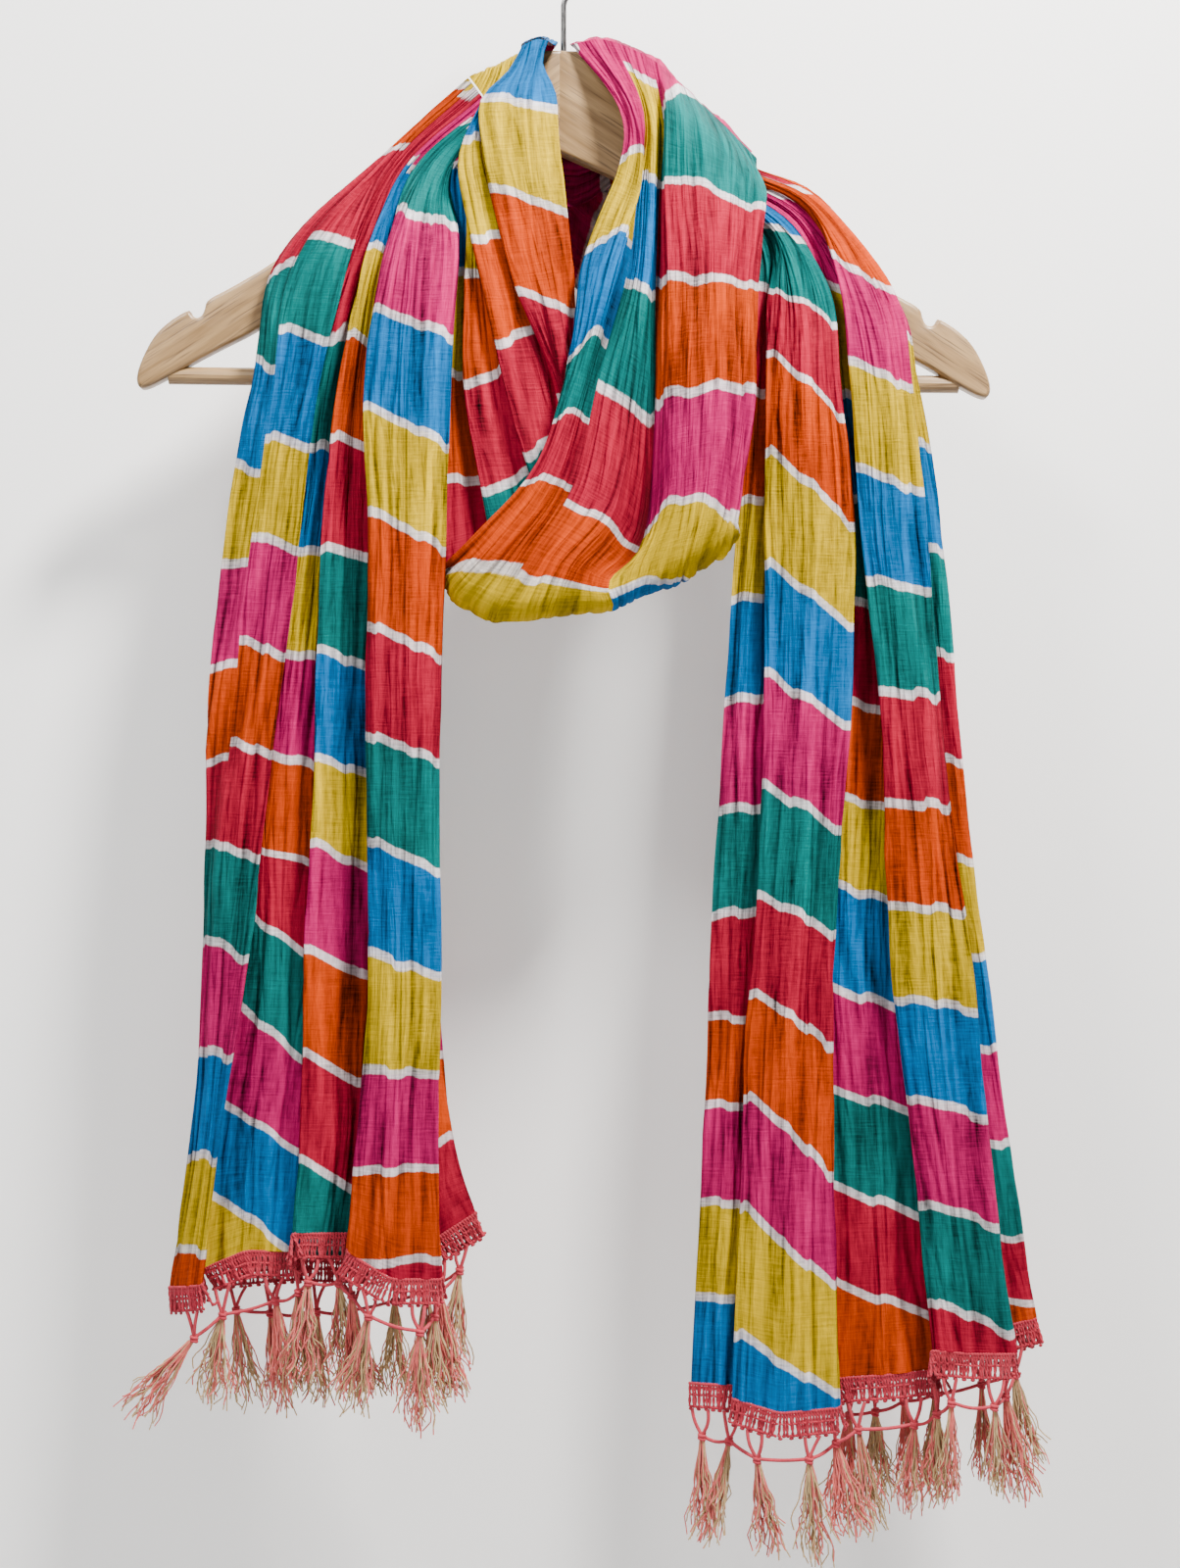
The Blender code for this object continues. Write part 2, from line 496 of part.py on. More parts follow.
def add_arm(name, side, material, home, cutters):
    """One arm, side -1 on the left and 1 on the right, with the bar's socket in its end."""
    middle = JOINT_X - SOCKET_GAP if side < 0 else JOINT_X
    outline = [(middle, WOOD_TOP)]
    outline += [(side * x, z - TILT * side * x) for x, z in ARM_OUTLINE]
    outline.append((middle, WOOD_TOP - WOOD_MIDDLE))
    arm = outline_plate(name, outline, WOOD_THICK, material, home)
    bpy.context.view_layer.update()
    arm = as_mesh(arm)
    length = BAR_HALF + SOCKET_GAP - SOCKET_START
    reach = side * (SOCKET_START + length / 2)
    bpy.ops.mesh.primitive_cylinder_add(
        vertices=16,
        radius=(BAR_RADIUS + SOCKET_GAP) * MM,
        depth=length * MM,
        location=(reach * MM, 0.0, (BAR_HEIGHT - TILT * reach) * MM),
        rotation=(0.0, math.pi / 2 + TILT, 0.0),
    )
    cutter = bpy.context.object
    cutter.name = name + "_socket"
    cutter.hide_render = True
    cutter.display_type = "WIRE"
    for other in cutter.users_collection:
        other.objects.unlink(cutter)
    cutters.objects.link(cutter)
    cut = arm.modifiers.new("socket", "BOOLEAN")
    cut.operation = "DIFFERENCE"
    cut.object = cutter
    return arm


def add_hanger(home, cutters):
    wood = finish("light_wood", (0.52, 0.33, 0.18), 0.45)
    steel = finish("hook_steel", (0.55, 0.55, 0.57), 0.25, 1.0)
    add_arm("arm_left", -1, wood, home, cutters)
    add_arm("arm_right", 1, wood, home, cutters)
    bpy.ops.mesh.primitive_cylinder_add(
        vertices=16,
        radius=BAR_RADIUS * MM,
        depth=2 * BAR_HALF * MM,
        location=(0.0, 0.0, BAR_HEIGHT * MM),
        rotation=(0.0, math.pi / 2 + TILT, 0.0),
    )
    bar = bpy.context.object
    bar.name = "bar"
    bar.data.materials.append(wood)
    for other in bar.users_collection:
        other.objects.unlink(bar)
    home.objects.link(bar)
    add_wire("hook", hook_line(), WIRE_RADIUS, steel, home)


def hook_line():
    """Straight stem, a side step, and the round hook with its inside top at the origin."""
    bend = HOOK_RADIUS + WIRE_RADIUS
    centre_z = -HOOK_RADIUS
    line = [(0.0, 0.0, WOOD_TOP + STEM_GAP), (0.0, 0.0, STEM_TOP)]
    line += [(x, 0.0, z) for x, z in SIDE_STEP]
    for degrees in range(*HOOK_TURN):
        angle = math.radians(degrees)
        line.append((bend * math.cos(angle), 0.0, centre_z + bend * math.sin(angle)))
    return line


def add_end(side, folds, neck, cloth, trim, home):
    """One hanging end with the lace on its hem and the fringe under the lace."""
    grid = tail_grid(folds, neck)
    cloth_wall(side + "_tail", grid, cloth, home)
    hem = grid[-1]
    gap = np.array([0.0, 0.0, -SEAM * MM])
    drop = np.array([0.0, 0.0, -LACE_HEIGHT * MM])
    lace = np.array([hem + gap, hem + gap + drop])
    cloth_wall(side + "_lace", lace, trim, home, LACE_WALL)
    add_fringe(side + "_fringe", hem + gap + drop, trim, home)


def main():
    for old in list(bpy.data.objects):
        bpy.data.objects.remove(old)
    scene = bpy.context.scene.collection
    home = bpy.data.collections.new("dupatta_on_hanger")
    cutters = bpy.data.collections.new("cutters")
    scene.children.link(home)
    scene.children.link(cutters)
    cutters.hide_render = True
    trim = finish("coral_trim", (0.62, 0.09, 0.12), 0.8)
    add_hanger(home, cutters)
    add_end("left", LEFT_FOLDS, LEFT_NECK, finish("left_cloth", (0.75, 0.2, 0.05)), trim, home)
    add_end("right", RIGHT_FOLDS, RIGHT_NECK, finish("right_cloth", (0.8, 0.62, 0.1)), trim, home)
    loop_left = section_grid(LEFT_LOOP, LEFT_LOOP_STEPS, FOLD_REACH)
    cloth_wall("loop_left", loop_left, finish("loop_left", (0.75, 0.5, 0.05)), home)
    loop_right = section_grid(RIGHT_LOOP, RIGHT_LOOP_STEPS, FOLD_REACH)
    cloth_wall("loop_right", loop_right, finish("loop_right", (0.65, 0.08, 0.14)), home)
    crossing = (
        ("strand_from_loop", LOOP_STRAND, (0.5, 0.05, 0.2)),
        ("strand_from_tail", TAIL_STRAND, (0.05, 0.35, 0.3)),
    )
    for name, sections, colour in crossing:
        grid = section_grid(sections, (STRAND_ROWS,) * (len(sections) - 1), STRAND_REACH)
        cloth_wall(name, grid, finish(name, colour), home)


main()
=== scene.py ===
# %% [markdown]
# # A striped crinkle dupatta looped over a coat hanger
#
# The real object is one long shawl of thin crinkled cotton, woven in bands of colour between
# white lines. It is looped like a scarf over a wooden hanger, and each end has a strip of
# crocheted lace with knotted tassels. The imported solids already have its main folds. This
# lesson makes the cloth, lace, yarn, wood and steel that are seen.

from collections import namedtuple
import json
import math

import bmesh
import bpy
from mathutils import Matrix
import numpy as np

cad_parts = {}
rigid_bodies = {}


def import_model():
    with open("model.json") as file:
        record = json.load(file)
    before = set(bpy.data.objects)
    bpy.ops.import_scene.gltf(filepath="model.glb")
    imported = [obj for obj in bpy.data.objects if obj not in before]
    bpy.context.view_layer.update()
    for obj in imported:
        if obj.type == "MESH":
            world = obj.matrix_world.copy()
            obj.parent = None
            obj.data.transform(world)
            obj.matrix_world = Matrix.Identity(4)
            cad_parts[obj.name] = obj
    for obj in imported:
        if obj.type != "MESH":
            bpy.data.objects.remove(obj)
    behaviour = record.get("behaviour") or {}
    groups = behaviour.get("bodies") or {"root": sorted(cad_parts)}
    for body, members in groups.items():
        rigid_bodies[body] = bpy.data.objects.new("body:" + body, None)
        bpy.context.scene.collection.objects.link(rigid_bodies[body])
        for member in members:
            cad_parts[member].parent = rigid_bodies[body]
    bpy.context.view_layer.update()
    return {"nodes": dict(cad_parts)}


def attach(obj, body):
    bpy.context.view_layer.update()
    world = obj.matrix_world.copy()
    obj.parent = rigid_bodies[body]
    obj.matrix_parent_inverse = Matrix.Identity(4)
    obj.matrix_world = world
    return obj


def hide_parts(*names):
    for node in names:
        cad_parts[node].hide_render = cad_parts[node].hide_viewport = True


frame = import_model()
MM = 0.001
print("solids", sorted(frame["nodes"]))

# %% [markdown]
# ## Helpers for objects and nodes
#
# Most steps add objects and wire nodes, and these few functions do it the same way each time.
# A node's input takes a link, a number, a vector or a colour. Inputs are filled in order or by
# name, with an underscore for each space.

# %% Objects
def add_object(name, data):
    piece = bpy.data.objects.new(name, data)
    bpy.context.scene.collection.objects.link(piece)
    return piece


# %% Nodes and their inputs
def put(socket, value):
    if isinstance(value, bpy.types.NodeSocket):
        socket.id_data.links.new(value, socket)
    elif value is not None:
        socket.default_value = (*value, 1.0) if socket.type == "RGBA" else value


def fill(node, *values, **named):
    for socket, value in zip(node.inputs, values):
        put(socket, value)
    for label, value in named.items():
        put(node.inputs[label.replace("_", " ")], value)
    return node


def step(tree, kind, *values, settings=None, **named):
    """One new node with its settings made and its inputs filled, and its first output."""
    node = tree.nodes.new(kind)
    for label, value in (settings or {}).items():
        setattr(node, label, value)
    return fill(node, *values, **named).outputs[0]


def new_material(name):
    """A material, its nodes and its main shader."""
    material = bpy.data.materials.new(name)
    material.use_nodes = True
    return material, material.node_tree, material.node_tree.nodes["Principled BSDF"]


# %% [markdown]
# ## Camera, light, wall and floor
#
# The picture looks straight at the hanger from 1.4 m, and its frame is 819 mm high at the
# hanger. The same numbers place the folds later, so they are named once here. The wall is
# seen from the front only: its back lets the light through, and so the back of the shawl can
# be looked at too.

# %% Camera
EYE = (0.0138, -1.4, -0.4575)
VIEW_HEIGHT = 0.8192
SENSOR_HEIGHT = 36.0

camera = add_object("camera", bpy.data.cameras.new("camera"))
camera.location = EYE
camera.rotation_euler = (math.pi / 2, 0.0, 0.0)
camera.data.sensor_fit = "VERTICAL"
camera.data.sensor_height = SENSOR_HEIGHT
camera.data.lens = SENSOR_HEIGHT * -EYE[1] / VIEW_HEIGHT
bpy.context.scene.camera = camera
print("lens", round(camera.data.lens, 1))

# %% Soft lights from above on both sides and behind, and a weak one from the front
LIT_MIDDLE = (0.0, 0.0, -0.42)


def add_soft_light(name, place, size, power, colour):
    light = add_object(name, bpy.data.lights.new(name, "AREA"))
    light.data.shape = "DISK"
    light.data.size = size
    light.data.energy = power
    light.data.color = colour
    light.location = place
    towards = np.array(LIT_MIDDLE) - np.array(place)
    pitch = math.atan2(math.hypot(towards[0], towards[1]), -towards[2])
    light.rotation_euler = (pitch, 0.0, math.atan2(towards[1], towards[0]) - math.pi / 2)


add_soft_light("right_light", (0.45, -0.65, 0.7), 0.28, 65.0, (1.0, 0.99, 0.97))
add_soft_light("left_light", (-0.75, -0.9, 0.7), 0.4, 24.0, (0.98, 0.99, 1.0))
add_soft_light("front_light", (0.2, -2.2, -0.7), 1.2, 6.0, (1.0, 1.0, 1.0))
add_soft_light("back_light", (0.3, 1.6, 0.6), 1.4, 30.0, (1.0, 1.0, 1.0))

world = bpy.data.worlds.new("studio")
world.use_nodes = True
fill(world.node_tree.nodes["Background"], Color=(0.93, 0.95, 1.0), Strength=0.22)
bpy.context.scene.world = world

# %% Wall behind the hanger and floor below it
WALL_PLACE = 0.075
WALL_TOP = 1.2
FLOOR_HEIGHT = -1.25
WIDE = 2.2


def one_sided_paint(name, colour, glow=0.0):
    """Matt paint that shows only on the side its faces point to."""
    material, tree, paint = new_material(name)
    fill(paint, Base_Color=colour, Roughness=0.9, Specular_IOR_Level=0.1)
    fill(paint, Emission_Color=(1.0, 1.0, 1.0), Emission_Strength=glow)
    clear = step(tree, "ShaderNodeBsdfTransparent")
    back = tree.nodes.new("ShaderNodeNewGeometry").outputs["Backfacing"]
    mix = step(tree, "ShaderNodeMixShader", back, paint.outputs["BSDF"], clear)
    put(tree.nodes["Material Output"].inputs["Surface"], mix)
    return material


def add_backdrop(name, corners, material):
    mesh = bpy.data.meshes.new(name)
    mesh.from_pydata(corners, [], [(0, 1, 2, 3)])
    mesh.materials.append(material)
    add_object(name, mesh)


add_backdrop(
    "wall",
    [(-WIDE, WALL_PLACE, FLOOR_HEIGHT), (WIDE, WALL_PLACE, FLOOR_HEIGHT),
     (WIDE, WALL_PLACE, WALL_TOP), (-WIDE, WALL_PLACE, WALL_TOP)],
    one_sided_paint("pale_wall", (0.88, 0.862, 0.842), 0.29),
)
add_backdrop(
    "floor",
    [(-WIDE, -WIDE, FLOOR_HEIGHT), (WIDE, -WIDE, FLOOR_HEIGHT),
     (WIDE, WIDE, FLOOR_HEIGHT), (-WIDE, WIDE, FLOOR_HEIGHT)],
    one_sided_paint("pale_floor", (0.6, 0.6, 0.59)),
)

# %% [markdown]
# ## Where the cloth hangs
#
# Cloth keeps its folds along its length, so every stretch is described by a few cross
# sections. Each fold of a section is a point: how far right, how high and how far in front of
# the hanger it is, in millimetres as the camera sees it. The solids are shaped by nearly the
# same sections, so cloth and solids agree but for a few edges.

# %% The folds of the two hanging ends
Fold = namedtuple("Fold", "name shoulder drop x250 x320 x400 x480 x560 x640 hem depth")
LEVELS = (-250.0, -320.0, -400.0, -480.0, -560.0, -640.0)

LEFT_FOLDS = (
    Fold("a_edge", (-90, -124, 10), (-149, -181, 13), -164, -176, -185, -187, -190, -195, (-206, -720), 24),
    Fold("a_step", (-90, -127.5, 15), (-139, -181, 24), -152, -162, -171, -179, -184, -189, (-200, -720), 32),
    Fold("a_lip", (-88.5, -131, 18.5), (-110, -182, 36), -126, -135, -145, -155, -165, -178,
         (-188, -719), 42),
    Fold("ab_tuck", (-86.5, -131.5, 15), (-117, -182, 24), -136, -146, -155, -165, -173, -184,
         (-190, -711), 27),
    Fold("b_ridge", (-85.5, -133.5, 17.5), (-106, -182, 30), -124, -133, -144, -152, -154, -161,
         (-166, -701), 33),
    Fold("b_tuck", (-83.5, -134, 15), (-99, -182, 24), -111, -117, -119, -121, -124, -129, (-136, -702), 27),
    Fold("c_edge", (-83.5, -137, 20), (-105, -182, 37), -119, -127, -131, -133, -137, -140, (-143, -692), 43),
    Fold("c_tuck", (-79.5, -136, 17), (-87, -182, 30), -96, -95, -96, -96, -97, -100, (-107, -692), 35),
    Fold("d_edge", (-77.5, -137, 23), (-96, -182, 48), -106, -104, -105, -105, -104, -110, (-114, -701), 56),
    Fold("d_swell", (-68, -138, 27), (-76, -182, 55), -82, -82, -84, -85, -84, -88, (-90, -716), 61),
    Fold("d_lip", (-56, -142, 25), (-53, -182, 45), -56.5, -58.5, -61, -63, -62.5, -64.5, (-62, -716), 52),
    Fold("e_tuck", (-62, -146, 18), (-71, -182, 31), -75, -78, -81, -82, -80, -79, (-75, -700), 37),
    Fold("e_edge", (-55, -150, 14), (-61, -182, 23), -67, -69, -70, -70, -64, -56, (-44, -680), 29),
    Fold("rear_1", (-68, -145, 10), (-86, -182, 14), -93, -97, -100, -101, -101, -100, (-98, -706), 15),
    Fold("rear_2", (-77, -138, 9.5), (-106, -182, 11), -119, -125, -129, -132, -136, -140, (-140, -704), 12),
    Fold("rear_3", (-84, -131, 9.5), (-128, -182, 12), -146, -153, -160, -166, -170, -176, (-178, -707), 17),
)
RIGHT_FOLDS = (
    Fold("r1_edge", (95, -177, 14), (96, -215, 18), 96, 91, 85, 80, 76, 73, (66, -770), 24),
    Fold("r1_crease", (103.5, -175, 17), (106, -214, 25), 103, 100, 95, 93, 90, 87, (80, -771), 31),
    Fold("r1_tuck", (106, -173, 15), (114, -212, 20), 113, 112, 111, 108, 104, 100, (96, -772), 26),
    Fold("r2_edge", (108, -171, 19), (106, -206, 33), 105, 104, 104, 101, 96, 92, (87, -778), 40),
    Fold("r2_swell", (113, -169, 23), (124, -204, 39), 126, 127, 126, 123, 118, 116, (113, -786), 47),
    Fold("r2_lip", (119, -167, 21), (141, -202, 34), 146, 153, 152, 146, 142, 142, (146, -783), 42),
    Fold("r3_tuck", (121, -164, 17), (134, -200, 22), 138, 142, 142, 138, 134, 135, (138, -768), 28),
    Fold("r3_fold", (124, -162, 19), (147, -202, 26), 152, 160, 163, 160, 158, 163, (168, -766), 30),
    Fold("r3_far", (126, -159.5, 17), (156, -201, 20), 163, 171, 175, 176, 180, 190, (198, -763), 27),
    Fold("r4_edge", (127, -157, 21), (143, -200, 40), 149, 154, 162, 167, 171, 180, (191, -753), 47),
    Fold("r4_swell", (131, -155.5, 24), (158, -202, 43), 168, 172, 180, 187, 194, 201, (213, -755), 51),
    Fold("r4_lip", (135, -154, 21), (173, -200, 38), 184, 191, 198, 206, 217, 223, (238, -755), 44),
    Fold("r5_tuck", (134, -151, 16), (167, -198, 26), 176, 180, 186, 192, 203, 210, (224, -742), 33),
    Fold("r5_edge", (131, -149, 12.5), (176, -203, 16), 188, 199, 205, 213, 223, 233, (249, -736), 27),
    Fold("rear_1", (121, -156, 9.5), (150, -202, 11), 160, 164, 170, 174, 182, 192, (206, -748), 17),
    Fold("rear_2", (112, -165, 9), (128, -206, 11), 132, 132, 132, 132, 132, 136, (140, -762), 12),
)
LEFT_NECK = ((-50, -88.5, 12), (-34, -110, 15), (-43, -98, 8.8))
RIGHT_NECK = ((77, -152, 17), (98, -134, 13), (90, -151, 9))
REAR_FOLDS = 3
print("folds", len(LEFT_FOLDS), len(RIGHT_FOLDS))

# %% The two halves of the loop
LEFT_LOOP_FOLDS = (
    "c1_in", "c1_mid", "c1_out", "c2_tuck", "c2_edge", "c3_tuck", "c3_edge", "far_tuck", "far_edge",
)
LEFT_LOOP = (
    ((-8, -69, 19), (-14, -68, 22), (-23, -72, 23), (-19, -74, 20), (-23, -76, 19),
     (-17, -78.5, 16), (-22, -81, 15.5), (-15, -83, 12.5), (-19, -86, 11.5)),
    ((-11, -81, 22), (-17, -81, 28), (-30, -84, 28), (-26, -86, 24), (-32, -88, 24),
     (-26, -90, 20), (-31, -93, 20), (-23, -95, 16), (-27, -98, 15.5)),
    ((-4, -97, 27), (-22, -98, 38), (-45, -100, 36), (-37, -102, 30), (-46, -104, 32),
     (-36, -106, 26), (-43, -108, 27.5), (-33, -110, 21.5), (-38, -113, 21)),
    ((-2, -124, 31), (-20, -124, 43), (-43, -125, 41), (-36, -126, 34), (-56, -127, 38),
     (-47, -129, 29), (-55, -130.5, 30.5), (-47, -132, 24), (-60, -137, 23)),
    ((1, -150, 34), (-16, -151, 47), (-38, -153, 45), (-29, -154, 38), (-53, -154, 42),
     (-43, -156, 34), (-52, -157, 36), (-47, -159, 29), (-60, -162, 30)),
    ((6, -195, 38), (-8, -197, 50), (-26, -199, 48), (-16, -200, 41), (-43, -200, 46),
     (-32, -202, 37), (-54, -202, 40), (-46, -204, 31), (-62, -207, 33)),
    ((9, -245, 38), (2, -246, 49), (-6, -247, 49), (-3, -248, 42), (-33, -248, 47),
     (-22, -250, 38), (-54, -250, 42), (-45, -252, 32), (-63.5, -254, 35)),
    ((14, -292, 39), (9, -293, 47), (4, -293, 49), (4, -294, 43), (-20, -294, 47),
     (-12, -295, 38), (-46, -296, 43), (-39, -297, 32), (-64, -300, 36)),
    ((20, -322, 38), (14, -323, 44), (9, -324, 46), (9, -325, 41), (-8, -327, 44),
     (-6, -330, 37), (-37, -341, 41), (-34, -342, 32), (-64, -353, 36)),
)
RIGHT_LOOP_FOLDS = (
    "lapel", "lapel_fold", "valley", "strand", "band_tuck", "band_edge", "band_a", "band_b",
    "band_edge_2", "under_edge",
)
RIGHT_LOOP = (
    ((4, -71, 8.6), (18, -68, 9.6), (26, -69.4, 9.2), (36, -73.4, 9.4), (46, -78.6, 9.3),
     (51, -82, 9.8), (62, -92, 10.3), (80, -109.4, 12.4), (96, -125.4, 13.2), (101, -130.5, 13)),
    ((29, -104, 25), (38, -103, 34), (42, -107, 26), (46, -109, 35), (53, -114, 28),
     (53, -104, 42), (68, -113, 45), (89, -126, 43), (106, -146, 38), (100, -157, 30)),
    ((29, -132, 34), (41, -140, 44), (38, -147, 35), (47, -145, 47), (50, -151, 38),
     (53, -150, 54), (70, -148, 61), (90, -150, 59), (107, -158, 50), (98, -164, 38)),
    ((9, -186, 48), (27, -182, 59), (33, -191, 49), (44, -194, 61), (48, -200, 50),
     (55, -196, 66), (72, -194, 72), (87, -195, 70), (103, -199, 58), (92, -204, 42)),
    ((2, -235, 56), (13, -236, 66), (19, -241, 57), (37, -253, 68), (48, -262, 56),
     (54, -254, 71), (70, -250, 78), (86, -248, 76), (101, -253, 63), (88, -257, 46)),
    ((-14, -289, 62), (-8, -297, 71), (5, -301, 64), (26, -312, 74), (42, -330, 60),
     (53, -311, 73), (67, -308, 80), (81, -306, 78), (93, -314, 65), (83, -316, 53)),
    ((-45, -325, 58), (-35, -334, 70), (-17, -336, 68), (2, -343, 76), (24, -352, 67),
     (44, -343, 71), (61, -338, 77), (75, -334, 75), (92, -323, 65), (90, -321, 57)),
    ((-64, -344, 42), (-57, -357, 58), (-36, -368, 65), (-8, -367, 70), (26, -364, 66),
     (41, -357, 67), (58, -351, 70), (73, -343, 67), (91, -329, 58), (92, -326, 53)),
    ((-65, -350, 38), (-58, -363, 46), (-37, -374, 50), (-9, -371, 51), (24, -368, 51),
     (41, -360, 54), (57, -355, 55), (72, -347, 54), (88, -334, 50), (91, -329.5, 46.5)),
    ((-62, -344, 35), (-54, -353, 36), (-34, -363, 36), (-8, -359, 37), (22, -357, 39),
     (38, -351, 41), (53, -346, 42), (66, -339, 42), (81, -330, 42), (85, -325.5, 39.5)),
    ((-48, -336, 33), (-44, -338, 29), (-30, -341, 27), (-8, -339, 27), (18, -338, 29),
     (32, -335, 31), (45, -332, 33), (56, -328, 34), (68, -322, 35), (72, -318, 32.5)),
)
print("loop sections", len(LEFT_LOOP), len(RIGHT_LOOP))

# %% The two stretches that cross behind the neck
# Seven folds in each section: an edge, then ridges and hollows by turns, then the other edge.
LOOP_STRAND = (
    ((-4, -72, 17.9), (-10.5, -67.5, 18.9), (-13, -67.2, 20.2), (-15.5, -67.8, 21), (-18, -69, 21.3),
     (-20.5, -70.2, 21.8), (-22.5, -71.2, 22)),
    ((-3.2, -70, 4), (-8.5, -67, 4), (-11, -67, 4), (-13.5, -67.3, 4), (-16, -68, 4),
     (-18.5, -69, 4), (-21, -70.5, 4)),
    ((-3.2, -71, -12), (-8, -69.5, -13), (-11, -70.5, -12), (-14, -72, -13), (-17, -74, -12),
     (-20, -76.5, -13), (-22.5, -79, -12)),
    ((-5, -77, -21), (-8, -89, -27), (-11, -101, -22), (-14, -114, -28), (-16, -127, -23),
     (-18, -140, -28), (-19, -152, -22)),
    ((19, -88, -27), (18, -106, -33), (16, -124, -27), (14, -143, -34), (12, -162, -27),
     (10, -182, -33), (8, -200, -26)),
    ((46, -134, -21), (44, -143, -25), (42, -152, -21), (40, -161, -25), (38, -171, -21),
     (36, -181, -25), (34, -190, -21)),
    ((68, -146, -12), (67, -150, -15), (66.5, -154, -12), (66, -158, -15), (65.5, -162, -12),
     (65, -167, -15), (64, -172, -12)),
    ((72, -131, -9.5), (76, -134, -11), (80, -138, -9.5), (84, -142, -11), (88, -146, -9.5),
     (92, -150, -11), (96, -154, -9.5)),
    ((72, -121, 0), (76, -124, 0), (80, -127, 0), (84, -130, 0), (88, -133, 0), (92, -136, 0),
     (96, -139, 0)),
    ((73, -128, 10), (77, -129.5, 10), (81, -131, 10), (85, -132.5, 10), (89, -134, 10),
     (93, -135, 10), (96, -136, 10)),
    ((76.4, -151.4, 17), (79.9, -148.4, 16.3), (83.4, -145.4, 15.7), (86.9, -142.4, 15),
     (90.3, -139.4, 14.3), (93.6, -136.5, 13.7), (96.4, -134, 13)),
)
TAIL_STRAND = (
    ((-33.3, -109.4, 15), (-36, -105.8, 14.5), (-38.6, -102.3, 14), (-41.3, -98.7, 13.5),
     (-44, -95.1, 13), (-46.6, -91.5, 12.5), (-49.3, -88, 12)),
    ((-24.5, -83, 10.4), (-28.5, -85.5, 10.2), (-32.5, -87.5, 9.6), (-36.5, -87.5, 9.4), (-40, -87, 9),
     (-43.5, -86.5, 9), (-47, -86.5, 9)),
    ((-22, -74.5, 0), (-26, -76.5, 0), (-30, -79, 0), (-34, -81, 0), (-38, -83, 0), (-42, -85.5, 0),
     (-46, -88, 0)),
    ((-16, -78.5, -9.5), (-20.5, -83, -10.5), (-25, -87, -9), (-29, -91, -10), (-33, -94.5, -9),
     (-37, -98, -10), (-41, -101, -9)),
    ((-8, -86, -10), (-10, -95, -15), (-13, -104, -10), (-16, -113, -15), (-19, -122, -10),
     (-22, -131, -15), (-25, -138, -10)),
    ((14, -86, -11), (13, -97, -16), (12, -109, -11), (11, -121, -16), (9, -133, -11),
     (7, -145, -16), (5, -156, -11)),
    ((14, -77, -12), (21, -85, -16), (28, -94, -12), (34, -103, -16), (40, -112, -12),
     (45, -120, -16), (49, -128, -12)),
    ((5, -72, -13), (22, -75, -16), (34, -81, -13), (48, -91, -16), (62, -103, -13),
     (76, -117, -16), (89, -131, -12)),
    ((3.2, -70, -3), (19, -66.8, -3), (33, -70, -3), (48, -77.5, -3), (62, -92, -3),
     (80, -108, -3), (98, -127, -3)),
    ((3.4, -71.5, 9), (18, -68.2, 9.7), (31, -71, 9.4), (48, -79.8, 9.6), (61, -91.4, 10.5),
     (80, -109.4, 12.5), (98, -127.6, 13.3)),
)
print("strand sections", len(LOOP_STRAND), len(TAIL_STRAND))

# %% [markdown]
# ## Where the white lines run
#
# Twelve bands of colour repeat along the shawl, with a white line between two bands. Each
# facet between two folds shows its own stretch of them. A facet's table holds the number of
# its first line, and how far below the rail each line meets its left and right side. Between
# two lines the band number grows evenly, so the number alone gives the colour.

# %% Lines on the facets of both ends and of the loop's left half
Facet = namedtuple("Facet", "start stop first left right")

LEFT_FACETS = (
    Facet("a_edge", "a_step", 4, (91, 127, 196, 235, 291, 342, 396, 446, 488, 539, 597, 652, 700),
          (94, 125, 184, 240, 294, 340, 393, 442, 488, 541, 599, 653, 701)),
    Facet("a_step", "a_lip", 4, (94, 125, 171, 219, 276, 327, 381, 434, 489, 541, 598, 652, 701),
          (97, 122.5, 176, 227, 283, 337, 393, 444, 498, 549, 601, 655, 702)),
    Facet("ab_tuck", "b_tuck", 5, (90, 224, 278, 332, 386, 437, 491, 522, 571, 624, 672),
          (92, 228, 286, 339, 393, 450, 501, 552, 607, 652, 703)),
    Facet("c_edge", "c_tuck", 2, (131, 176, 222, 276, 335, 388, 445, 488, 543, 596, 652),
          (135, 181, 231, 284, 342, 399, 455, 504, 560, 616, 670)),
    Facet("d_edge", "d_lip", 0, (110, 156, 209, 260, 314, 374, 432, 487, 547, 608, 661, 708),
          (114, 165, 224, 281, 335, 392, 446, 503, 557, 608, 657, 705)),
    Facet("e_tuck", "e_edge", 9, (549, 603, 652), (545, 600, 641)),
    Facet("rear_1", "rear_3", 9, (540, 594, 648), (520, 574, 628)),
)
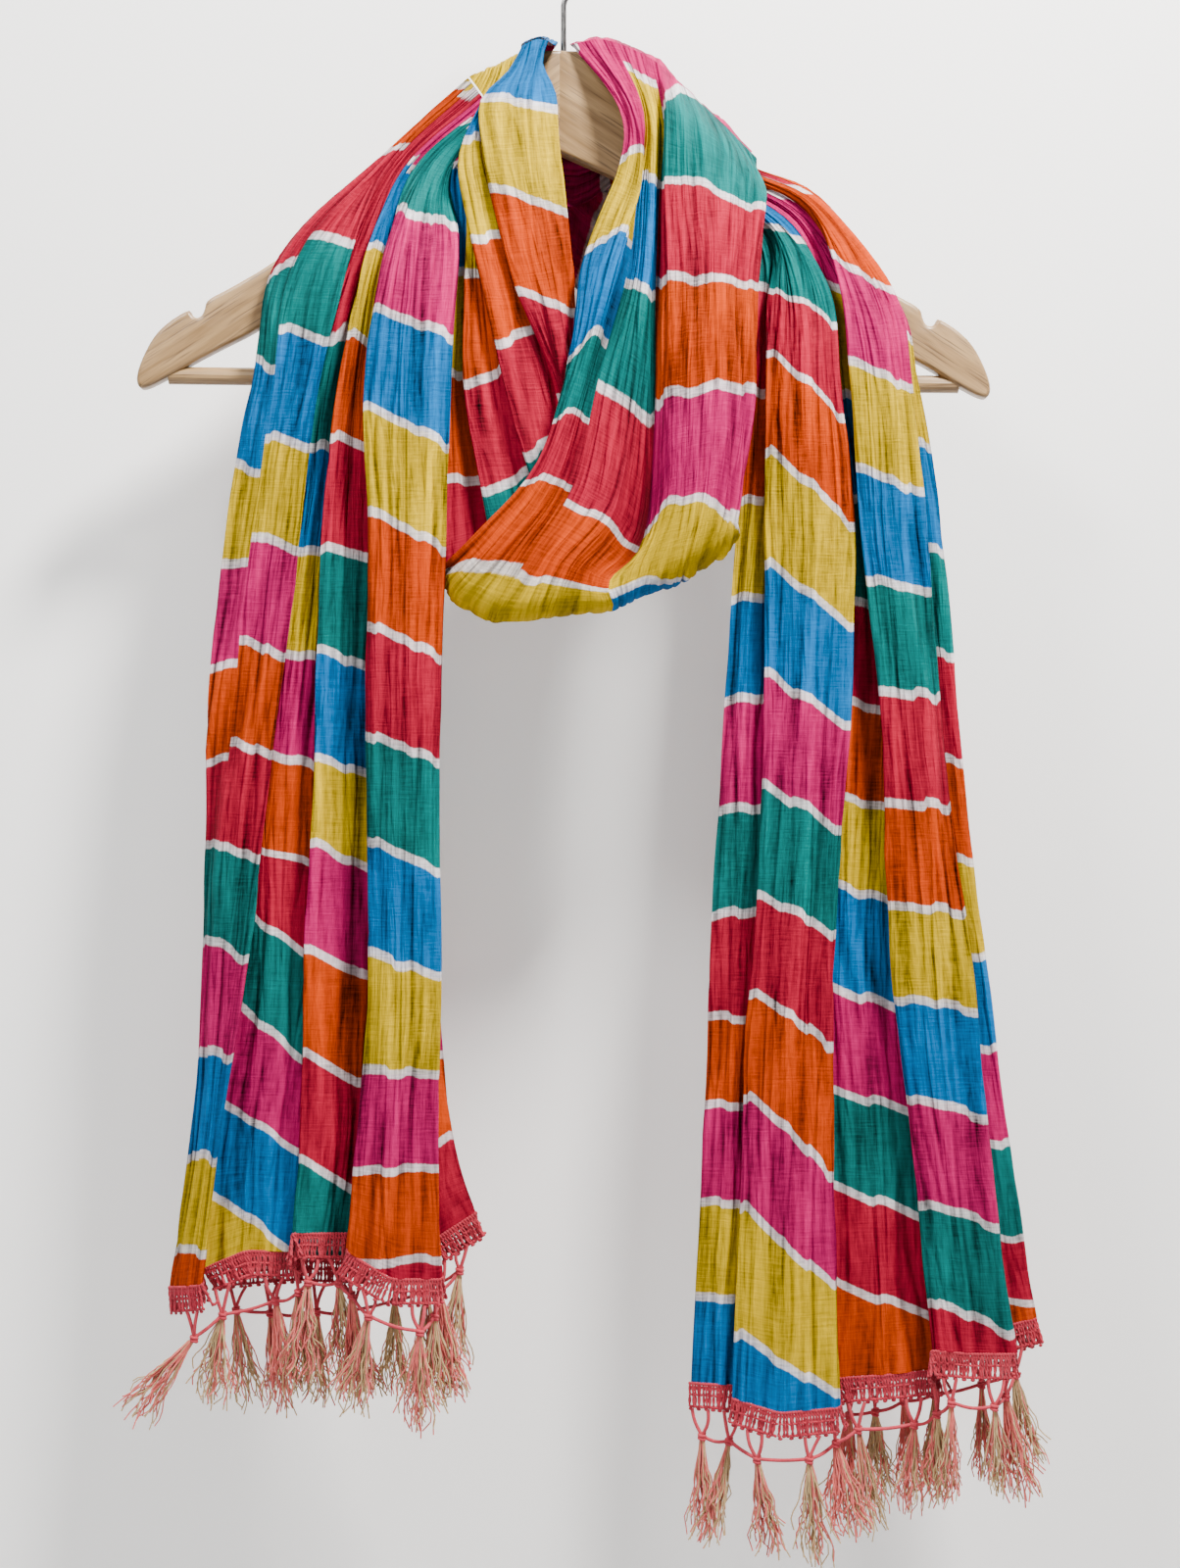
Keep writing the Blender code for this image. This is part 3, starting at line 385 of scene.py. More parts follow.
RIGHT_FACETS = (
    Facet("r1_edge", "r1_tuck", 6, (253, 309, 361, 415, 473, 528, 580, 625, 676, 725),
          (253, 309, 359, 411, 469, 522, 580, 625, 676, 725)),
    Facet("r2_edge", "r2_lip", 4, (165, 199, 231, 283, 342, 398, 456, 514, 566, 621, 678, 745),
          (173, 217, 265, 322, 376, 428, 483, 537, 593, 662, 719, 777)),
    Facet("r3_tuck", "r3_far", 6, (414, 464, 509, 561, 615, 665, 716), (422, 473, 521, 578, 632, 687, 736)),
    Facet("r4_edge", "r4_lip", 1, (180, 237, 293, 351, 408, 466, 520, 570, 623, 678, 728),
          (200, 252, 306, 358, 412, 470, 525, 576, 632, 689, 745)),
    Facet("r5_tuck", "r5_edge", 2, (222, 278, 333, 387, 443, 495, 545, 593, 643, 694, 727),
          (224, 281, 336, 390, 446, 498, 548, 596, 646, 696, 729)),
    Facet("rear_1", "rear_2", 2, (230, 286, 341, 395, 451, 503, 553, 601, 651, 701, 745),
          (236, 292, 347, 401, 457, 509, 559, 607, 657, 707, 752)),
)
LOOP_FACETS = (
    Facet("c1_in", "c1_out", 3, (104, 158, 212, 268), (98, 145, 199, 255)),
    Facet("c2_tuck", "c2_edge", 3, (121, 172, 221, 277), (120, 172, 227, 286)),
    Facet("c3_tuck", "c3_edge", 4, (190, 240, 294), (190, 248, 304)),
    Facet("far_tuck", "far_edge", 4, (243, 298, 352), (245, 300, 355)),
)
BAND_PITCH = 54.5
print("facets", len(LEFT_FACETS), len(RIGHT_FACETS), len(LOOP_FACETS))

# %% Band numbers at the sections of the loop's right half and of the strands
# A row is a section of the table above, with a number for each fold that is not a tuck.
RIGHT_LOOP_TUCKS = ("valley", "band_tuck")
RIGHT_LOOP_BANDS = (
    (13.0, 13.1, 13.75, 9.75, 9.9, 10.15, 10.4, 10.4),
    (13.52, 13.55, 14.42, 10.1, 10.35, 10.5, 10.8, 10.9),
    (14.05, 14.3, 15.1, 11.15, 11.1, 10.95, 11.0, 11.1),
    (15.17, 15.35, 15.93, 12.05, 12.0, 12.05, 12.0, 12.0),
    (16.0, 16.3, 16.9, 13.0, 12.97, 13.0, 13.0, 13.0),
    (17.7, 17.95, 17.8, 14.0, 14.0, 13.9, 13.9, 13.8),
    (18.62, 18.84, 18.74, 14.8, 14.7, 14.4, 14.0, 13.9),
    (18.93, 19.2, 19.33, 15.1, 15.0, 14.6, 14.15, 14.0),
    (19.12, 19.38, 19.47, 15.4, 15.3, 14.9, 14.4, 14.3),
    (19.5, 19.7, 19.7, 15.7, 15.6, 15.2, 14.7, 14.6),
    (19.8, 20.0, 20.0, 16.0, 15.9, 15.5, 15.0, 14.9),
)
# For a strand only the first and the last fold of each section.
LOOP_STRAND_BANDS = (
    (2.4, 2.3), (2.2, 2.15), (2.0, 1.9), (1.6, 1.5), (1.3, 1.02), (0.8, 0.6), (0.35, 0.25), (-0.1, -0.1),
    (-0.3, -0.35), (-0.5, -0.55), (-0.8, -0.8),
)
TAIL_STRAND_BANDS = (
    (8.3, 8.4), (8.45, 8.5), (8.75, 8.7), (9.05, 9.0), (9.3, 9.2), (9.75, 9.7), (10.6, 10.5), (11.7, 11.6),
    (13.1, 13.1), (13.45, 13.45),
)

# %% [markdown]
# ## Turning sections into cloth
#
# Four steps make a stretch of cloth. A smooth curve joins the sections along the length. Each
# fold is rounded with a small Bezier bend. The points then move from the picture's plane to
# their real place. Last come the crinkles: long creases a few millimetres apart that wander,
# merge and fade, made by moving each point along the surface's normal. A table of fixed random
# numbers, blended smoothly, keeps them the same in every run.

# %% Smooth curves along a stretch
ACROSS_STEP = 0.85  # spacing of a facet's points across the cloth, in millimetres
ALONG_STEP = 6.5  # spacing of the rows along it


def gaps_between(stations):
    return np.linalg.norm(np.diff(stations, axis=0), axis=2).mean(axis=1)


def rows_between(stations, gaps):
    """Catmull-Rom rows through the stations, with any columns."""
    ends = np.concatenate(
        [2 * stations[:1] - stations[1:2], stations, 2 * stations[-1:] - stations[-2:-1]]
    )
    rows = []
    for index, gap in enumerate(gaps):
        before, start, stop, after = ends[index : index + 4]
        count = max(2, round(gap / ALONG_STEP))
        for part in range(count):
            t = part / count
            rows.append(
                0.5 * (2 * start + (stop - before) * t
                       + (2 * before - 5 * start + 4 * stop - after) * t**2
                       + (3 * start - before - 3 * stop + after) * t**3)
            )
    rows.append(stations[-1])
    return np.array(rows)


# %% Straight facets and round bends across it
BEND_REACH = 4.0  # how far to each side of a fold its bend goes, in millimetres
BEND_MOST = 0.42  # most of a facet's width that a bend takes at each end
BEND_POINTS = 6


def bend_end(rows, index, other):
    """Where the bend at a fold meets the facet that runs to another fold."""
    width = np.linalg.norm(rows[:, other] - rows[:, index], axis=1)[:, None]
    return rows[:, index] + (rows[:, other] - rows[:, index]) * np.minimum(BEND_REACH / width, BEND_MOST)


def fold_across(rows):
    """Columns across every row, and for each fold its first and last column."""
    last = rows.shape[1] - 1
    columns = []
    spans = [(0, 0)]
    enter = rows[:, 0]
    for index in range(1, last + 1):
        fold = rows[:, index]
        leave = bend_end(rows, index, index - 1) if index < last else fold
        count = max(2, round(np.linalg.norm(leave - enter, axis=1).max() / ACROSS_STEP))
        columns += [enter + (leave - enter) * part / count for part in range(count)]
        begin = len(columns)
        if index < last:
            enter = bend_end(rows, index, index + 1)
            for part in range(BEND_POINTS):
                t = part / BEND_POINTS
                columns.append((1 - t) ** 2 * leave + 2 * t * (1 - t) * fold + t**2 * enter)
            spans.append((begin, len(columns)))
    columns.append(fold)
    spans.append((begin, begin))
    return np.stack(columns, axis=1), spans


# %% Picture plane to real place
def to_space(points):
    """(x, z, depth) in millimetres as seen by the camera, to metres."""
    away = -EYE[1] / MM
    x, z, depth = points[..., 0], points[..., 1], points[..., 2]
    share = (away - depth) / away
    eye_x, eye_z = EYE[0] / MM, EYE[2] / MM
    return np.stack(
        [MM * (eye_x + (x - eye_x) * share), -MM * depth, MM * (eye_z + (z - eye_z) * share)], axis=-1
    )


# %% Fixed random numbers, blended smoothly
NOISE_SIZE = 64


def smooth_noise(across, along, seed):
    table = np.random.default_rng(seed).uniform(-1.0, 1.0, (NOISE_SIZE, NOISE_SIZE))
    i, j = np.floor(across).astype(int), np.floor(along).astype(int)
    s, t = across - i, along - j
    s, t = s * s * (3 - 2 * s), t * t * (3 - 2 * t)
    corner = [[table[(i + a) % NOISE_SIZE, (j + b) % NOISE_SIZE] for b in (0, 1)] for a in (0, 1)]
    near = corner[0][0] * (1 - s) + corner[1][0] * s
    far = corner[0][1] * (1 - s) + corner[1][1] * s
    return near * (1 - t) + far * t


# %% Creases that wander along the cloth
CREASES = (
    # pitch, depth of crease, how far it runs, all in millimetres
    (4.8, 1.1, 80.0),
    (10.5, 1.5, 130.0),
    (25.0, 2.0, 210.0),
)
DENT = 0.35  # how far the cloth swells and sinks between creases, in millimetres
NICK = 1.25  # half the width of a fine crease, in millimetres


def crinkle(across, along, seed):
    """Height of the cloth over its main form, in millimetres, at (across, along)."""
    height = np.zeros_like(across)
    for index, (pitch, depth, run) in enumerate(CREASES):
        # Two slow noises make the creases wander, and a third makes them fade.
        key = seed + 10 * index
        phase = across / pitch
        phase = phase + 0.9 * smooth_noise(across / (5 * pitch), along / run, key)
        phase = phase + 0.35 * smooth_noise(across / (2 * pitch), along / (0.5 * run), key + 1)
        crest = 1.0 - np.abs(np.sin(np.pi * phase))
        if index == 0:
            off = np.abs(phase - np.round(phase)) * pitch
            crest = 0.55 - 1.25 * np.clip(1.0 - off / NICK, 0.0, 1.0)
        fade = smooth_noise(across / (2.5 * pitch), along / (0.8 * run), key + 2)
        strength = np.clip(0.6 + 0.7 * fade, 0.1, 1.2)
        side = -1.0 if index == 1 else 1.0
        height += side * depth * strength * (crest - 0.4)
    return height + DENT * smooth_noise(across / 9.0, along / 21.0, seed + 5)


# %% Normals and lengths of a grid
def grid_normals(grid):
    down = np.gradient(grid, axis=0)
    right = np.gradient(grid, axis=1)
    normal = np.cross(right, down)
    length = np.linalg.norm(normal, axis=-1, keepdims=True)
    return -normal / np.maximum(length, 1e-12)


def cloth_lengths(grid):
    """Distance across and along the cloth at each point, in millimetres."""
    across = np.linalg.norm(np.diff(grid, axis=1), axis=2) / MM
    along = np.linalg.norm(np.diff(grid, axis=0), axis=2) / MM
    across = np.concatenate([np.zeros((grid.shape[0], 1)), np.cumsum(across, axis=1)], axis=1)
    along = np.concatenate([[0.0], np.cumsum(along.mean(axis=1))])
    return across, np.repeat(along[:, None], grid.shape[1], axis=1)


# %% How deep the tucks are
TUCK_REACH = 22.0  # how far to each side a tuck's walls are looked for, in millimetres


# The material darkens each point by this depth: painted shade deep in the tucks.
def tuck_depth_for_shade(grid, lay):
    """How deep each point lies between the folds on both sides of it, in millimetres."""
    front = -grid[..., 1] / MM
    columns = front.shape[1]
    count = int(TUCK_REACH / max(lay[0, -1] / (columns - 1), 0.1))
    left, right = front.copy(), front.copy()
    for shift in range(1, min(count, columns - 1)):
        left[:, shift:] = np.maximum(left[:, shift:], front[:, :-shift])
        right[:, :-shift] = np.maximum(right[:, :-shift], front[:, shift:])
    return np.minimum(left, right) - front


# %% The creased copy of a grid
JOIN_FADE = 12.0  # how far from a joined end the creases fade, in millimetres


def crease_grid(grid, seed, strength, joins):
    """The grid with crinkles, weaker where the cloth is gathered tightly or joins a stretch."""
    across, along = cloth_lengths(grid)
    lay = across.mean(axis=0)[None, :].repeat(grid.shape[0], axis=0)
    slack = np.clip(np.gradient(across, axis=1) / np.gradient(lay, axis=1), 0.25, 1.0)
    height = crinkle(lay, along, seed) * slack * strength
    if joins:
        height *= np.clip(np.minimum(along, along.max() - along) / JOIN_FADE, 0.1, 1.0)
    creased = grid + grid_normals(grid) * height[..., None] * MM
    return creased, lay, along, height


# %% [markdown]
# ## Band numbers over a whole stretch
#
# A facet's two columns of lines give the band number at any height on it. The cloth between
# two facets is hidden in a tuck, so the number may jump there: each face keeps the numbers of
# its own side. Real lines are never quite straight: the weave shifts a little at each crinkle,
# so a few small steps are added.

# %% Band numbers from the lines of each facet
SPARE_LINES = 11  # lines added at the usual pitch before and after a table


def number_at(below, lines, first):
    """Band number at a distance below the rail."""
    lines = np.array(lines, float)
    ends = BAND_PITCH * np.arange(1, SPARE_LINES + 1)
    marks = np.concatenate([(lines[0] - ends)[::-1], lines, lines[-1] + ends])
    return np.interp(below, marks, first - SPARE_LINES + np.arange(len(marks)))


def facet_bands(points, spans, names, facets):
    """Band numbers of each column as seen from the faces before it, and from those after it."""
    below = -points[..., 1]
    before, after = np.zeros(below.shape), np.zeros(below.shape)
    reach = [(spans[names.index(facet.start)][1], spans[names.index(facet.stop)][0]) for facet in facets]
    seams = [(first[1] + second[0]) // 2 for first, second in zip(reach, reach[1:])]
    seams = [0, *seams, below.shape[1] - 1]
    for facet, (begin, end), low, high in zip(facets, reach, seams, seams[1:]):
        share = np.clip((np.arange(low, high + 1) - begin) / (end - begin), 0.0, 1.0)[None, :]
        part = below[:, low : high + 1]
        left = number_at(part, facet.left, facet.first)
        right = number_at(part, facet.right, facet.first)
        numbers = left + (right - left) * share
        after[:, low:high] = numbers[:, :-1]
        before[:, low + 1 : high + 1] = numbers[:, 1:]
    return before, after


# %% Band numbers from those of the folds
JUMP = 0.01  # width of the jump in a tuck, as a share of a column


def section_bands(marks, spans, count, tucks):
    """The same for a stretch whose folds have numbers, all but its tucks, where they jump."""
    middles = [(begin + end) // 2 for begin, end in spans]
    before, after = [], []
    for row in marks:
        for numbers, jump in ((before, JUMP), (after, -JUMP)):
            places, values = [], []
            given = 0
            for index, middle in enumerate(middles):
                if index in tucks:
                    places += sorted([middle, middle + jump])
                    values += [row[given - 1], row[given]]
                else:
                    places.append(middle)
                    values.append(row[given])
                    given += 1
            numbers.append(np.interp(np.arange(count), places, values))
    return np.array(before), np.array(after)


def unsteady(lay, along, seed):
    """Small waves and steps in the lines, as shares of a band."""
    wave = 0.012 * smooth_noise(lay / 30, along / 90, seed)
    sharp_step = 0.024 * np.tanh(5 * smooth_noise(lay / 7, along / 170, seed + 1))
    return wave + sharp_step


# %% Mesh of a stretch, with its UV map and band numbers
def add_layer(mesh, name, kind, domain, values, field="value"):
    layer = mesh.attributes.new(name, kind, domain)
    layer.data.foreach_set(field, values)


def cloth_piece(name, grid, lay, along, height, bands):
    """The sheet as a mesh, with its band numbers, creases and tucks as attributes."""
    rows, columns = grid.shape[:2]
    index = np.arange(rows * columns).reshape(rows, columns)
    faces = np.stack([index[:-1, :-1], index[1:, :-1], index[1:, 1:], index[:-1, 1:]], axis=-1)
    mesh = bpy.data.meshes.new(name)
    mesh.from_pydata(grid.reshape(-1, 3).tolist(), [], faces.reshape(-1, 4).tolist())
    mesh.update()
    mesh.shade_smooth()
    uv = mesh.uv_layers.new(name="UVMap")
    corners = np.empty(len(mesh.loops), int)
    mesh.loops.foreach_get("vertex_index", corners)
    flat = np.stack([lay.reshape(-1), along.reshape(-1)], axis=1)[corners] * MM
    uv.data.foreach_set("uv", flat.astype(np.float32).reshape(-1))
    before, after = bands
    around = np.stack([after[:-1, :-1], after[1:, :-1], before[1:, 1:], before[:-1, 1:]], axis=-1)
    add_layer(mesh, "band", "FLOAT", "CORNER", around.reshape(-1).astype(np.float32))
    # The crease height and the tuck depth also steer the painted shade in the material.
    add_layer(mesh, "crease", "FLOAT", "POINT", height.reshape(-1).astype(np.float32))
    add_layer(mesh, "tuck", "FLOAT", "POINT", tuck_depth_for_shade(grid, lay).reshape(-1).astype(np.float32))
    mesh.materials.append(cotton)
    area = sum(face.area for face in mesh.polygons)
    print(f"{name}: {len(mesh.polygons)} faces, {area:.4f} m2, lay {lay.max():.0f} x {along.max():.0f} mm")
    return add_object(name, mesh)


# %% [markdown]
# ## The cloth's finish
#
# The bands are dyed, so a ramp of twelve flat colours reads the band number, and the white
# line lies where the number is near a whole one. Dye in thin cotton is never even, so random
# patches and the weave vary the tone. On top of that the colour is darkened along creases,
# in the fine crinkle's faint streaks along the threads and deep in tucks, and lightened on the
# crease ridges: painted shade and light. The fine crinkle and the weave are too small for the
# mesh, so they are a bump. The dye and the thread are two node groups.

# %% A new node group
def new_group(name, kind, inputs, outputs):
    """An empty node group with sockets given as (name, kind), its start and its end."""
    group = bpy.data.node_groups.new(name, kind)
    for side, sockets in (("INPUT", inputs), ("OUTPUT", outputs)):
        for label, socket_kind in sockets:
            group.interface.new_socket(name=label, in_out=side, socket_type="NodeSocket" + socket_kind)
    return group, group.nodes.new("NodeGroupInput"), group.nodes.new("NodeGroupOutput")


# %% Nodes used again and again
def maths(tree, operation, *values, clamp=False):
    return step(tree, "ShaderNodeMath", *values, settings={"operation": operation, "use_clamp": clamp})


def plus(tree, first, second):
    return maths(tree, "ADD", first, second)


def minus(tree, first, second, clamp=False):
    return maths(tree, "SUBTRACT", first, second, clamp=clamp)


def times(tree, first, second, clamp=False):
    return maths(tree, "MULTIPLY", first, second, clamp=clamp)


def noise(tree, vector, scale, detail=3.0, roughness=0.55):
    return step(tree, "ShaderNodeTexNoise", Vector=vector, Scale=scale, Detail=detail, Roughness=roughness)


def stretched(tree, vector, scale):
    return step(tree, "ShaderNodeMapping", Vector=vector, Scale=scale)


def attribute(tree, name):
    node = tree.nodes.new("ShaderNodeAttribute")
    node.attribute_name = name
    return node.outputs["Fac"]


def object_place(tree):
    return tree.nodes.new("ShaderNodeTexCoord").outputs["Object"]


def mix_colour(tree, share, first, second, blend="MIX"):
    node = tree.nodes.new("ShaderNodeMix")
    node.data_type = "RGBA"
    node.blend_type = blend
    for index, value in ((0, share), (6, first), (7, second)):
        put(node.inputs[index], value)
    return node.outputs[2]


def toned(tree, colour, tone):
    """A colour made darker or lighter by a number."""
    grey = step(tree, "ShaderNodeCombineColor", tone, tone, tone)
    return mix_colour(tree, 1.0, colour, grey, "MULTIPLY")


def colour_ramp(tree, share, stops, interpolation="LINEAR"):
    node = tree.nodes.new("ShaderNodeValToRGB")
    ramp = node.color_ramp
    ramp.interpolation = interpolation
    while len(ramp.elements) < len(stops):
        ramp.elements.new(1.0)
    for index, (place, colour) in enumerate(stops):
        ramp.elements[index].position = place
        ramp.elements[index].color = (*colour, 1.0)
    return fill(node, share).outputs[0]


def place_group(tree, group, **sockets):
    node = tree.nodes.new("ShaderNodeGroup")
    node.node_tree = group
    return fill(node, **sockets)


def add_bump(tree, shader, height, strength, distance):
    bump = step(tree, "ShaderNodeBump", Strength=strength, Distance=distance * MM, Height=height)
    put(shader.inputs["Normal"], bump)


# %% The dyed bands
GREEN = (0.001, 0.092, 0.086)
PINK = (0.33, 0.004, 0.075)
BLUE = (0.001, 0.088, 0.25)
YELLOW = (0.40, 0.262, 0.0005)
ORANGE = (0.35, 0.031, 0.0002)
RED = (0.265, 0.005, 0.022)
WHITE = (0.56, 0.515, 0.525)
BANDS = (GREEN, PINK, BLUE, YELLOW, ORANGE, RED, GREEN, BLUE, YELLOW, PINK, ORANGE, RED)
LINE_HALF = 0.051  # half the white line's width as a share of the pitch
LINE_SHARP = 80.0
RAGGED = 0.022  # how far a line's edges wander, as a share of the pitch
STAIN = 0.34  # how much dye has run into the white


def dyed_bands_group():
    group, start, end = new_group(
        "dyed bands", "ShaderNodeTree", [("Band", "Float"), ("Vector", "Vector")], [("Color", "Color")]
    )
    vector = start.outputs["Vector"]
    ragged = noise(group, stretched(group, vector, (1.0, 0.25, 1.0)), 900.0, 2.0)
    band = plus(group, start.outputs["Band"], times(group, minus(group, ragged, 0.5), RAGGED))
    # Ten whole turns are added first, so that no number is below nought.
    turns = maths(group, "DIVIDE", plus(group, band, 10.0 * len(BANDS)), float(len(BANDS)))
    stops = [(index / len(BANDS), colour) for index, colour in enumerate(BANDS)]
    dye = colour_ramp(group, maths(group, "FRACT", turns), stops, "CONSTANT")
    off = maths(group, "ABSOLUTE", minus(group, band, maths(group, "ROUND", band)))
    line = times(group, minus(group, LINE_HALF, off), LINE_SHARP, clamp=True)
    stain = times(group, noise(group, vector, 260.0, 2.0), STAIN)
    white = mix_colour(group, stain, WHITE, dye)
    put(end.inputs["Color"], mix_colour(group, line, dye, white))
    return group


dyed_bands = dyed_bands_group()

# %% Threads, streaks and fine crinkle
PINCHES = (
    # how close the fine creases lie, how short they are, how narrow, how deep
    (115.0, 0.05, 14.0, 0.42),
    (250.0, 0.07, 10.0, 0.22),
)
TONE_MIDDLE = 1.29  # taken off the pattern's tone, so that it lies near nought


def cotton_thread_group():
    group, start, end = new_group(
        "cotton thread", "ShaderNodeTree",
        [("Color", "Color"), ("Vector", "Vector"), ("Streaks", "Float"), ("Crease", "Float")],
        [("Color", "Color"), ("Height", "Float")],
    )
    vector = start.outputs["Vector"]
    fine = noise(group, stretched(group, vector, (1.0, 0.07, 1.0)), 420.0, 4.0, 0.6)
    broad = noise(group, stretched(group, vector, (1.0, 0.16, 1.0)), 95.0, 3.0, 0.6)
    weft = noise(group, stretched(group, vector, (0.09, 1.0, 1.0)), 1150.0, 2.0, 0.5)
    warp = noise(group, stretched(group, vector, (1.0, 0.06, 1.0)), 1900.0, 2.0, 0.5)
    blotch = noise(group, vector, 40.0, 3.0)
    weave = plus(group, weft, warp)
    crumple = plus(group, times(group, fine, 0.5), times(group, broad, 0.9))
    # The crinkle's noise and its fine creases shape the bump and also darken the colour: painted shade in the
    # crinkle.
    for spacing, run, thin, depth in PINCHES:
        level = noise(group, stretched(group, vector, (1.0, run, 1.0)), spacing, 1.0)
        off = maths(group, "ABSOLUTE", minus(group, level, 0.5))
        pinch = minus(group, 1.0, times(group, off, thin), clamp=True)
        crumple = minus(group, crumple, times(group, pinch, depth))
    tone = plus(group, times(group, crumple, 0.75), times(group, weave, 0.7))
    tone = minus(group, plus(group, tone, times(group, blotch, 0.35)), TONE_MIDDLE)
    tone = times(group, tone, start.outputs["Streaks"])
    # Painted light and shade of the creases: higher points are lighter and troughs are darker.
    painted_crease_shade = times(group, start.outputs["Crease"], 0.26)
    tone = plus(group, plus(group, tone, painted_crease_shade), 1.0)
    put(end.inputs["Color"], toned(group, start.outputs["Color"], tone))
    put(end.inputs["Height"], plus(group, crumple, times(group, weave, 0.14)))
    return group


cotton_thread = cotton_thread_group()

# %% The cloth's material
PAINTED_TUCK_SHADE = (0.07, 0.035, 0.04)  # painted shade: what is left of the dye's colour deep in a tuck
PAINTED_SHADE_START = 4.5  # depth in millimetres from which a tuck is darker
PAINTED_SHADE_GROWTH = 0.16  # how fast it darkens with each millimetre
PAINTED_SHADE_MOST = 0.9
# This scales the painted shade of the fine crinkle together with the tone of the weave and the patches.
CRINKLE_SHADE_AND_STREAKS = 1.2  # how strong the streaks along the threads are


def striped_cotton():
    material, tree, shader = new_material("striped_cotton")
    lay = step(tree, "ShaderNodeUVMap", settings={"uv_map": "UVMap"})
    dye = place_group(tree, dyed_bands, Band=attribute(tree, "band"), Vector=lay)
    thread = place_group(tree, cotton_thread, Color=dye.outputs["Color"], Vector=lay, Streaks=CRINKLE_SHADE_AND_STREAKS,
                         Crease=attribute(tree, "crease"))
    back = tree.nodes.new("ShaderNodeNewGeometry").outputs["Backfacing"]
    # Painted shade: from a few millimetres deep in a tuck, the front's colour darkens to a near-black
    # crimson.
    tuck_shade_share = times(tree, minus(tree, attribute(tree, "tuck"), PAINTED_SHADE_START), PAINTED_SHADE_GROWTH, clamp=True)
    tuck_shade_share = times(tree, tuck_shade_share, times(tree, minus(tree, 1.0, back), PAINTED_SHADE_MOST))
    colour = thread.outputs["Color"]
    shaded_colour = mix_colour(tree, 1.0, colour, PAINTED_TUCK_SHADE, "MULTIPLY")
    put(shader.inputs["Base Color"], mix_colour(tree, tuck_shade_share, colour, shaded_colour))
    add_bump(tree, shader, thread.outputs["Height"], 1.0, 1.9)
    fill(shader, Roughness=0.6, Specular_IOR_Level=0.03)
    return material


cotton = striped_cotton()

# %% [markdown]
# ## The two hanging ends
#
# An end comes over the arm as a narrow bunch, spreads over the shoulder and hangs in uneven
# folds, with a plain back panel. Its mesh needs about one point a millimetre across, so that
# the crinkles are shaped, and one every 6.5 mm along, where the cloth is nearly straight.

# %% One stretch of cloth from its stations
def dress(piece, node):
    """Puts a piece in the place of a solid, on the part's one body."""
    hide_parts(node)
    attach(piece, "root")


def cloth_stretch(name, node, folds, stations, seed, facets=None, bands=None, tucks=(), mirrored=False,
                  strength=1.0, joins=False):
    """The piece, its last row and where its folds lie in a row."""
    stations = np.array(stations, float)
    gaps = gaps_between(stations)
    points, spans = fold_across(rows_between(stations, gaps))
    if facets:
        numbers = facet_bands(points, spans, folds, facets)
    else:
        marks = rows_between(np.array(bands, float)[..., None], gaps)[..., 0]
        numbers = section_bands(marks, spans, points.shape[1], [folds.index(tuck) for tuck in tucks])
    grid, lay, along, height = crease_grid(to_space(points), seed, strength, joins)
    numbers = [half + unsteady(lay, along, seed) for half in numbers]
    if mirrored:
        numbers = [len(BANDS) - 1.0 - half for half in numbers]
    piece = cloth_piece(name, grid, lay, along, height, numbers)
    dress(piece, node)
    return piece, to_space(points[-1]), spans


# %% Cloth of the hanging ends
def bunched(neck, count):
    """Folds gathered where an end comes over the arm: front folds, then rear folds."""
    start, stop, rear = (np.array(point, float) for point in neck)
    front = count - REAR_FOLDS
    folds = []
    for index in range(count):
        if index < front:
            place = start + (stop - start) * index / (front - 1)
        else:
            place = stop + (rear - stop) * (index - front + 1) / REAR_FOLDS
            place[2] = rear[2] - 1.0 + (index % 2)
        folds.append(place)
    return folds


def hanging_end(side, folds, neck, facets, seed, mirrored):
    stations = [bunched(neck, len(folds)), [fold.shoulder for fold in folds], [fold.drop for fold in folds]]
    for index, level in enumerate(LEVELS):
        stations.append([(fold[3 + index], level, fold.depth) for fold in folds])
    stations.append([(*fold.hem, fold.depth) for fold in folds])
    names = [fold.name for fold in folds]
    return cloth_stretch(f"{side}_end_cloth", f"{side}_tail", names, stations, seed, facets=facets,
                         mirrored=mirrored)


left_cloth, left_hem, left_spans = hanging_end("left", LEFT_FOLDS, LEFT_NECK, LEFT_FACETS, 11, False)
right_cloth, right_hem, right_spans = hanging_end("right", RIGHT_FOLDS, RIGHT_NECK, RIGHT_FACETS, 23, True)

# %% [markdown]
# ## The loop and the crossing strands
#
# The loop's left half drops from the neck in three long pleats and tucks behind the right
# half, which comes down as a wide band, turns under at the bottom and ends behind. Two strands
# cross behind the neck and join the loop to the ends.

# %% Cloth of the loop and the strands
LOOP_CRINKLE = 0.9  # how strong the crinkle is in the loop and the strands


def wound_cloth(name, node, sections, seed, folds=(), **ways):
    return cloth_stretch(name, node, folds, sections, seed, strength=LOOP_CRINKLE, joins=True, **ways)[0]


def strand_bands(pairs):
    """Band numbers of every fold, which change evenly from the first fold to the last."""
    side = np.linspace(0.0, 1.0, len(LOOP_STRAND[0]))[None, :]
    first, last = np.array(pairs).T[..., None]
    return first + (last - first) * side


